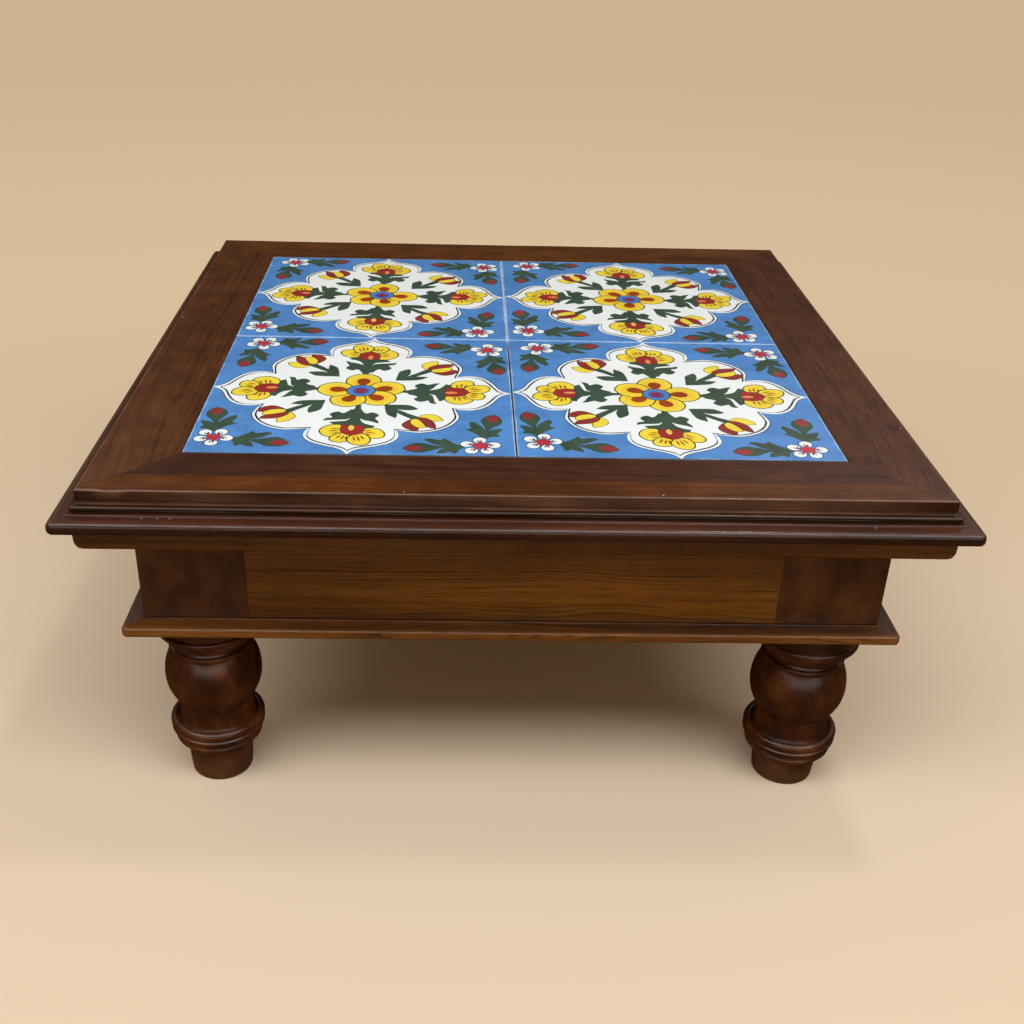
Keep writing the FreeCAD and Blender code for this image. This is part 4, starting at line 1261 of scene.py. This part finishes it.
PALMETTE_GREENS = [
    [(-2, -24, CUSP), (1.5, -24, CUSP), (2, -30), (3.8, -35), (3, -45), (4, -52), (5, -59, CUSP),
     (-5, -59, CUSP), (-4, -52), (-3.5, -45), (-4.2, -35), (-2.2, -30)],
    [(-3.2, -32), (-8.5, -38.2), (-12.5, -36), (-17, -39.5), (-16.5, -43), (-15, -45.5), (-19, -47),
     (-20.5, -51.5, CUSP), (-16.5, -50), (-9.5, -49), (-5.5, -48), (-3.3, -45.5, CUSP)],
    [(1.8, -32), (6, -37.5), (9.5, -35.5), (13.5, -38), (14.3, -41), (12.5, -44.5), (15, -50),
     (15.3, -53, CUSP), (11.5, -50.5), (6.5, -48.5), (2.3, -45.5, CUSP)],
    [(-3, -46.5), (-5.5, -50), (-10.5, -51.5), (-16, -53, CUSP), (-13.5, -56), (-8.5, -57.5), (-7, -60),
     (7.5, -60.5), (11, -60), (13, -59), (13.5, -56.5, CUSP), (9.5, -55), (5.5, -52), (2.6, -47)],
]
PALMETTE_PETALS = [
    ([(-7.5, -58), (-12.5, -57), (-17.5, -60), (-20, -65.5), (-18.5, -71), (-14.5, -74.5), (-10.5, -74),
      (-7.3, -69)],
     [((-9, -62), (-14.5, -63.5)), ((-9, -65.5), (-15.5, -66.8)), ((-8.6, -68.5), (-13.5, -71))]),
    ([(8, -62), (12.5, -60.5), (17.5, -63), (20.5, -69), (19.5, -73.5), (15, -75.3), (11, -74), (8, -69.5)],
     [((9, -64.5), (13, -64)), ((9.5, -67), (15.5, -67.8)), ((9, -69.5), (13.5, -71.3))]),
    ([(-11, -73.5), (-12.5, -78), (-10.5, -81.5), (-6, -82.8), (-2, -81), (-0.8, -76), (-1.5, -72),
      (-6, -70)],
     [((-7.5, -73.5), (-9.2, -78.5)), ((-5, -74.5), (-5.6, -79.6)), ((-2.8, -75), (-2.6, -79))]),
    ([(0, -74), (-1.3, -79), (1, -83.5), (5.5, -86), (10, -85.5), (12.5, -81), (12, -75), (8.5, -70),
      (4, -70)],
     [((2.4, -75), (3.4, -81.5)), ((5, -74.5), (6.8, -81.5)), ((7.2, -73), (9.6, -78.5))]),
]
PALMETTE_HEART = [
    (-6.8, -57.5, CUSP), (-7.6, -62), (-6.6, -67), (-3.6, -70.6), (0.4, -71.8), (4.4, -70.2),
    (6.8, -66.4), (7.4, -62), (6.6, -57.5, CUSP), (0, -56.8),
]
PALMETTE_TONGUE = [(-1, -56.3, CUSP), (0.8, -59), (0.9, -62), (-0.8, -64.8), (-2.5, -62.4), (-2.7, -59)]
GLOW_TOWARDS = (0, -66)
GLOW_SHARE = 0.4
GLOW_INSET = 0.42
VEINS_TOWARDS = (0, -65)
VEIN_SHARE = 0.2
VEIN_WIDTH = 1.15
TULIP_CENTRE = (38, -42)
TULIP_GREENS = [
    [(24, -29), (28, -31.5), (34, -37), (40, -42), (41, -46, CUSP), (37, -47.5, CUSP), (34, -44), (30, -40),
     (26.5, -36), (22, -31)],
    [(17.5, -22.5, CUSP), (25, -22.8), (34, -23.5), (38, -27), (40, -29.5, CUSP), (38, -31), (31, -31.5),
     (26.5, -30), (21, -28)],
    [(17.8, -22.5, CUSP), (19.2, -35), (21, -40), (26, -44.5, CUSP), (26.5, -39), (26.2, -35), (24, -29)],
]
TULIP_PETALS = [
    ("yellow", [(40, -43), (43, -39.5), (47, -38), (51, -39.5), (54.5, -43.5), (56, -47.8, CUSP),
                (53, -48.5), (49, -48.2), (44, -46)]),
    ("crimson", [(39.5, -43.5), (43.5, -43.5), (47, -46), (49.5, -49.5), (51, -55), (51.3, -60, CUSP),
                 (47.5, -58.5), (45, -55), (42.5, -50), (40.5, -46)]),
    ("crimson", [(36.5, -46.5), (32.5, -50), (30.5, -55), (32.5, -60), (36.5, -63), (39.8, -64, CUSP),
                 (40.5, -60), (38.2, -56), (36.4, -51)]),
    ("yellow", [(37.2, -45.6), (39.6, -45.8), (41.5, -48.5), (44, -54), (45.5, -58.5, CUSP), (41.5, -59.2),
                (37.8, -56.2), (35.7, -51.5), (35.7, -48)]),
]
SPRAY_GREENS = [
    [(81, -73.5, CUSP), (78, -68), (70, -60.5, CUSP), (73.5, -58.8), (72, -52), (73.5, -48.5), (77, -51.5),
     (80, -55), (82.3, -60.5), (84, -66), (84.5, -73.5, CUSP)],
    [(82.5, -66, CUSP), (82.3, -58), (80.5, -52), (79, -46), (82, -40), (88, -36, CUSP), (91.3, -40),
     (93, -46), (91.5, -52), (88.5, -55.5), (85.5, -61), (84.5, -67, CUSP)],
    [(82.8, -74, CUSP), (83.5, -66), (86.5, -60.5), (90, -58.5), (93.7, -58, CUSP), (92.5, -62),
     (90.5, -66), (92, -68), (91.5, -70), (87.5, -70.8)],
]
SPRAY_BUD = [
    (82.6, -42.5), (83.6, -39.8), (88, -36, CUSP), (91, -40), (91, -44), (88.8, -48.5), (86, -49),
    (83.6, -46),
]
LOWER_SPRAY_SHIFT = (-3.2, -3.0)
UPPER_SPRAY_CENTRE = (84, -60)
LOWER_SPRAY_CENTRE = (60, -86)
BUD_RIM_SHARE = 0.2
BLOSSOM_PETALS = [(80, -75.6), (88.4, -82.8), (84, -91), (74.4, -90.8), (72, -81.3)]
BLOSSOM_CENTRE = (80, -83.7)
BLOSSOM_PETAL_RADIUS = 4.0
BLOSSOM_SPOT_RADIUS = 1.7
BLOSSOM_SPOT_SHARE = 0.18
BLOSSOM_LIGHT_RADIUS = 0.8
BLOSSOM_LIGHT_SHARE = 0.4
BLOSSOM_RED = [
    (80, -78.2), (82, -80.8), (85.4, -81.4), (83.6, -84.2), (83.6, -87.8), (80.5, -87.1),
    (77, -88.5), (76.8, -84.7), (74.6, -82), (78, -81.1),
]
FLOWER_PETAL = [(4, 0), (8.5, 7.6), (15, 11.4), (23, 10), (28.4, 4.4), (28.8, 0)]
FLOWER_TINT = [(6, 0), (10, 5.6), (15.5, 7.6), (21.5, 6.6), (24.6, 2.6), (24.8, 0)]
FLOWER_DROP = [(7.5, 0), (10.5, 2.4), (14.5, 4.4), (18.6, 4.2), (21, 1.9), (21.3, 0)]
FLOWER_LAYERS = [
    (FLOWER_PETAL, "yellow", ("olive", 0.95)),
    (FLOWER_TINT, "amber", None),
    (FLOWER_DROP, "rust", None),
]
FLOWER_CENTRE = [
    ((0, 0, 9.2), "disc", ("olive", 0.9)),
    ((0, -0.3, 5.4, 5.8), "violet", None),
    ((0, -0.2, 3.2, 3.8), "maroon", None),
]
# The drawn edge of each shape that has one: its tone and its width
PETAL_EDGE = ("olive", 0.9)
HEART_EDGE = ("smoke", 0.5)
TULIP_EDGE = ("olive", 0.55)
BLOSSOM_EDGE = ("ink", 0.6)
BLOSSOM_RED_EDGE = ("smoke", 0.35)
# How far the stencil of each motif may turn, in degrees, and slip
PALMETTE_PLAY = (2.5, 0.5)
TULIP_PLAY = (2.5, 0.8)
SPRAY_PLAY = (3.0, 0.8)
BLOSSOM_PLAY = (12.0, 0.6)
QUARTERS = (0, 90, 180, 270)
# How each tile's flower petals point, and its whole print is turned and shifted
PETAL_TURNS = {
    "front_left": (90, 15, -45, -115, 175),
    "front_right": (88, 3, -75, -147, 155),
    "back_left": (87, 159, -135, -77, -7),
    "back_right": (68, 131, -165, -93, 3),
}
PRINT_PLACES = {
    "front_left": (-1.3, (-0.6, -0.9)),
    "front_right": (-0.3, (-3.2, 0.0)),
    "back_left": (-0.9, (1.2, -0.9)),
    "back_right": (-0.9, (1.6, -0.4)),
}


def turned_about(point, degrees, centre=(0.0, 0.0)):
    """A point turned to the left about a centre."""
    middle = Vector(centre)
    return middle + Matrix.Rotation(math.radians(degrees), 2) @ (Vector(point) - middle)


def mirrored_outline(half):
    """A leaf or petal whose given half lies above its own axis."""
    return half + [(x, -y) for x, y in reversed(half[1:-1])]


def oval(x, y, reach, height=None):
    """A round spot."""
    height = height or reach
    ring = [math.tau * step / 10 for step in range(10)]
    return [(x + reach * math.cos(turn), y + height * math.sin(turn)) for turn in ring]


def brush_stroke(start, end, width):
    """A short stroke, thin at both ends."""
    first, last = Vector(start), Vector(end)
    side = (last - first).orthogonal().normalized() * width / 2
    middle = (first + last) / 2
    return [(*first, CUSP), tuple(middle + side), (*last, CUSP), tuple(middle - side)]


def grown(points, reach):
    """An outline moved outwards by a small step."""
    wider = []
    for here, point in enumerate(points):
        run = points[(here + 1) % len(points)] - points[here - 1]
        if run.length:
            point = point + Vector((run.y, -run.x)).normalized() * reach
        wider.append(point)
    return wider


def spread(outline, reach):
    """The given points of an outline, moved away from the tile's middle."""
    spots = [(Vector(point[:2]), point[2:]) for point in outline]
    return [(*(spot * (1 + reach / spot.length)), *mark) for spot, mark in spots]


def middle_of(outline):
    """The mean of an outline's given points."""
    return sum((Vector(point[:2]) for point in outline), Vector((0, 0))) / len(outline)


def shrunk(outline, share):
    """The given points of an outline, drawn in towards its own middle."""
    middle = middle_of(outline)
    return [(*Vector(point[:2]).lerp(middle, share), *point[2:]) for point in outline]


def lower_spray(outline):
    """The spray's outline again on the other side of the corner's diagonal."""
    right, up = LOWER_SPRAY_SHIFT
    return [(right - y, up - x, *mark) for x, y, *mark in outline]


SPRAYS = [
    (UPPER_SPRAY_CENTRE, SPRAY_GREENS, SPRAY_BUD),
    (LOWER_SPRAY_CENTRE, [lower_spray(leaf) for leaf in SPRAY_GREENS], lower_spray(SPRAY_BUD)),
]


class Painting:
    """The painted shapes of one tile, in millimetres from its middle, the lowest first."""

    def __init__(self, corner):
        self.spin, self.shift = PRINT_PLACES[corner]
        self.hand = random.Random(corner)
        self.drift = Vector((self.hand.uniform(0, 90), self.hand.uniform(0, 90), 0))
        face = [Vector((x * FACE_HALF, y * FACE_HALF)) for x, y in ((-1, -1), (1, -1), (1, 1), (-1, 1))]
        self.layers = [("blue", face)]

    def printed(self, point):
        """Where a stencil's point lands on this tile."""
        spot = turned_about(point, self.spin) + Vector(self.shift) * max(0, 1 - point.length / PRINT_REACH)
        where = Vector((*spot, 0)) / WARP_LENGTH + self.drift
        slip = noise.noise_vector(where)
        return spot + Vector((slip.x, slip.y)) * WARP

    def paint(self, tone, outline, turn=0.0, edge=None, place=None):
        """Lay a shape down, over a slightly wider one where it has a drawn edge."""
        points = [turned_about(point, turn) for point in smooth_outline(outline)]
        if place:
            points = [turned_about(point, place[0], place[1]) + Vector(place[2]) for point in points]
        points = [self.printed(point) for point in points]
        area = sum(a.x * b.y - b.x * a.y for a, b in zip(points, points[1:] + points[:1]))
        if area < 0:
            points.reverse()
        if edge:
            self.layers.append((edge[0], grown(points, edge[1])))
        self.layers.append((tone, points))

    def loose(self, centre, turn, play):
        """A small turn and slip of a motif, as a stencil that was held down anew."""
        most_turn, most_slip = play
        slip = (self.hand.uniform(-most_slip, most_slip), self.hand.uniform(-most_slip, most_slip))
        return (self.hand.uniform(-most_turn, most_turn), turned_about(centre, turn), slip)


def paint_tile(corner):
    """The whole pattern of one tile."""
    work = Painting(corner)
    for lobe, tone, ink_reach in MEDALLION_LAYERS:
        outline = []
        for turn in QUARTERS:
            outline += [(*turned_about(point[:2], turn), *point[2:]) for point in lobe]
        work.paint("ink", spread(outline, ink_reach))
        work.paint(tone, outline)
    for turn in QUARTERS:
        place = work.loose(PALMETTE_CENTRE, turn, PALMETTE_PLAY)
        for leaf in PALMETTE_GREENS:
            work.paint("green", leaf, turn, place=place)
        for petal, veins in PALMETTE_PETALS:
            work.paint("yellow", petal, turn, PETAL_EDGE, place)
            glow = middle_of(petal).lerp(Vector(GLOW_TOWARDS), GLOW_SHARE)
            warm = [tuple(Vector(point[:2]).lerp(glow, GLOW_INSET)) for point in petal]
            work.paint("amber", warm, turn, place=place)
            for start, end in veins:
                root = Vector(start).lerp(Vector(VEINS_TOWARDS), VEIN_SHARE)
                work.paint("vein", brush_stroke(root, end, VEIN_WIDTH), turn, place=place)
        work.paint("scarlet", PALMETTE_HEART, turn, HEART_EDGE, place)
        tongue = "cream" if turn == 0 else "peach"
        work.paint(tongue, PALMETTE_TONGUE, turn, place=place)
    for turn in QUARTERS:
        place = work.loose(TULIP_CENTRE, turn, TULIP_PLAY)
        for leaf in TULIP_GREENS:
            work.paint("green", leaf, turn, place=place)
        for tone, petal in TULIP_PETALS:
            work.paint(tone, petal, turn, TULIP_EDGE, place)
    for degrees in PETAL_TURNS[corner]:
        for half, tone, edge in FLOWER_LAYERS:
            work.paint(tone, mirrored_outline(half), degrees, edge)
    for spot, tone, edge in FLOWER_CENTRE:
        work.paint(tone, oval(*spot), edge=edge)
    for turn in QUARTERS:
        for centre, greens, bud in SPRAYS:
            place = work.loose(centre, turn, SPRAY_PLAY)
            for leaf in greens:
                work.paint("green", leaf, turn, place=place)
            work.paint("bud_rim", bud, turn, place=place)
            work.paint("bud", shrunk(bud, BUD_RIM_SHARE), turn, place=place)
        place = work.loose(BLOSSOM_CENTRE, turn, BLOSSOM_PLAY)
        for petal in BLOSSOM_PETALS:
            work.paint("white", oval(*petal, BLOSSOM_PETAL_RADIUS), turn, BLOSSOM_EDGE, place)
        for petal in BLOSSOM_PETALS:
            spot = Vector(petal).lerp(Vector(BLOSSOM_CENTRE), BLOSSOM_SPOT_SHARE)
            light = spot.lerp(Vector(petal), BLOSSOM_LIGHT_SHARE)
            work.paint("smoke", oval(*spot, BLOSSOM_SPOT_RADIUS), turn, place=place)
            work.paint("white", oval(*light, BLOSSOM_LIGHT_RADIUS), turn, place=place)
        work.paint("rose", BLOSSOM_RED, turn, BLOSSOM_RED_EDGE, place)
    return work.layers


def tile_mesh(name, layers, middle, top, bottom):
    """A tile whose flat face is cut along every painted edge, each facet in the glaze of
    the topmost shape over it, with rounded upper edges, sides and an underside."""
    points = []
    outlines = []
    for tone, outline in layers:
        outlines.append(list(range(len(points), len(points) + len(outline))))
        points += outline
    corners, _, facets, _, _, covers = delaunay_2d_cdt(points, [], outlines, 1, SAME_POINT)
    skin = bmesh.new()
    verts = [skin.verts.new((corner.x, corner.y, 0)) for corner in corners]
    for facet, cover in zip(facets, covers):
        if 0 in cover:
            face = skin.faces.new([verts[index] for index in facet])
            face.material_index = glaze_order.index(layers[max(cover)][0])
    bmesh.ops.delete(skin, geom=[vert for vert in skin.verts if not vert.link_faces], context="VERTS")
    clay = len(glaze_order)
    drops = []
    for step in range(1, ARRIS_STEPS + 1):
        turn = math.pi / 2 * step / ARRIS_STEPS
        drops.append((ARRIS * math.sin(turn), ARRIS * (1 - math.cos(turn)), glaze_order.index("blue")))
    drops.append((ARRIS, (top - bottom) / MM, clay))
    edge_loop = [edge for edge in skin.edges if edge.is_boundary]
    homes = {vert: vert.co.copy() for edge in edge_loop for vert in edge.verts}
    for out, drop, material in drops:
        made = bmesh.ops.extrude_edge_only(skin, edges=edge_loop)["geom"]
        old_homes = homes
        homes = {}
        for vert in (thing for thing in made if isinstance(thing, bmesh.types.BMVert)):
            neighbours = (edge.other_vert(vert) for edge in vert.link_edges)
            home = next(old_homes[source] for source in neighbours if source in old_homes)
            homes[vert] = home
            vert.co = home.copy()
            for axis in (0, 1):
                if abs(home[axis]) > FACE_HALF - HAIR:
                    vert.co[axis] += math.copysign(out, home[axis])
            vert.co.z = -drop
        for face in (thing for thing in made if isinstance(thing, bmesh.types.BMFace)):
            face.material_index = material
        edge_loop = [thing for thing in made if isinstance(thing, bmesh.types.BMEdge) and thing.is_boundary]
    for face in bmesh.ops.edgeloop_fill(skin, edges=edge_loop)["faces"]:
        face.material_index = clay
    bmesh.ops.recalc_face_normals(skin, faces=skin.faces)
    spots = skin.loops.layers.uv.new("print")
    for face in skin.faces:
        face.smooth = True
        for loop in face.loops:
            loop[spots].uv = (loop.vert.co.x / TILE_SIDE + 0.5, loop.vert.co.y / TILE_SIDE + 0.5)
    bmesh.ops.scale(skin, vec=(MM, MM, MM), verts=skin.verts)
    bmesh.ops.translate(skin, vec=(middle.x, middle.y, top), verts=skin.verts)
    mesh = bpy.data.meshes.new(name)
    skin.to_mesh(mesh)
    skin.free()
    for material in glaze_materials + [biscuit]:
        mesh.materials.append(material)
    made = bpy.data.objects.new(name, mesh)
    bpy.context.scene.collection.objects.link(made)
    return made


# The slips of the painted lines are the same in every run
noise.seed_set(WARP_SEED)
for corner in CORNERS:
    node = f"tile_{corner}"
    low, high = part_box(node)
    tile = tile_mesh(f"painted_{node}", paint_tile(corner), (low + high) / 2, high.z, low.z)
    even_normals(tile, TILE_CREASE)
    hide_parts(node)
    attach(tile, "root")
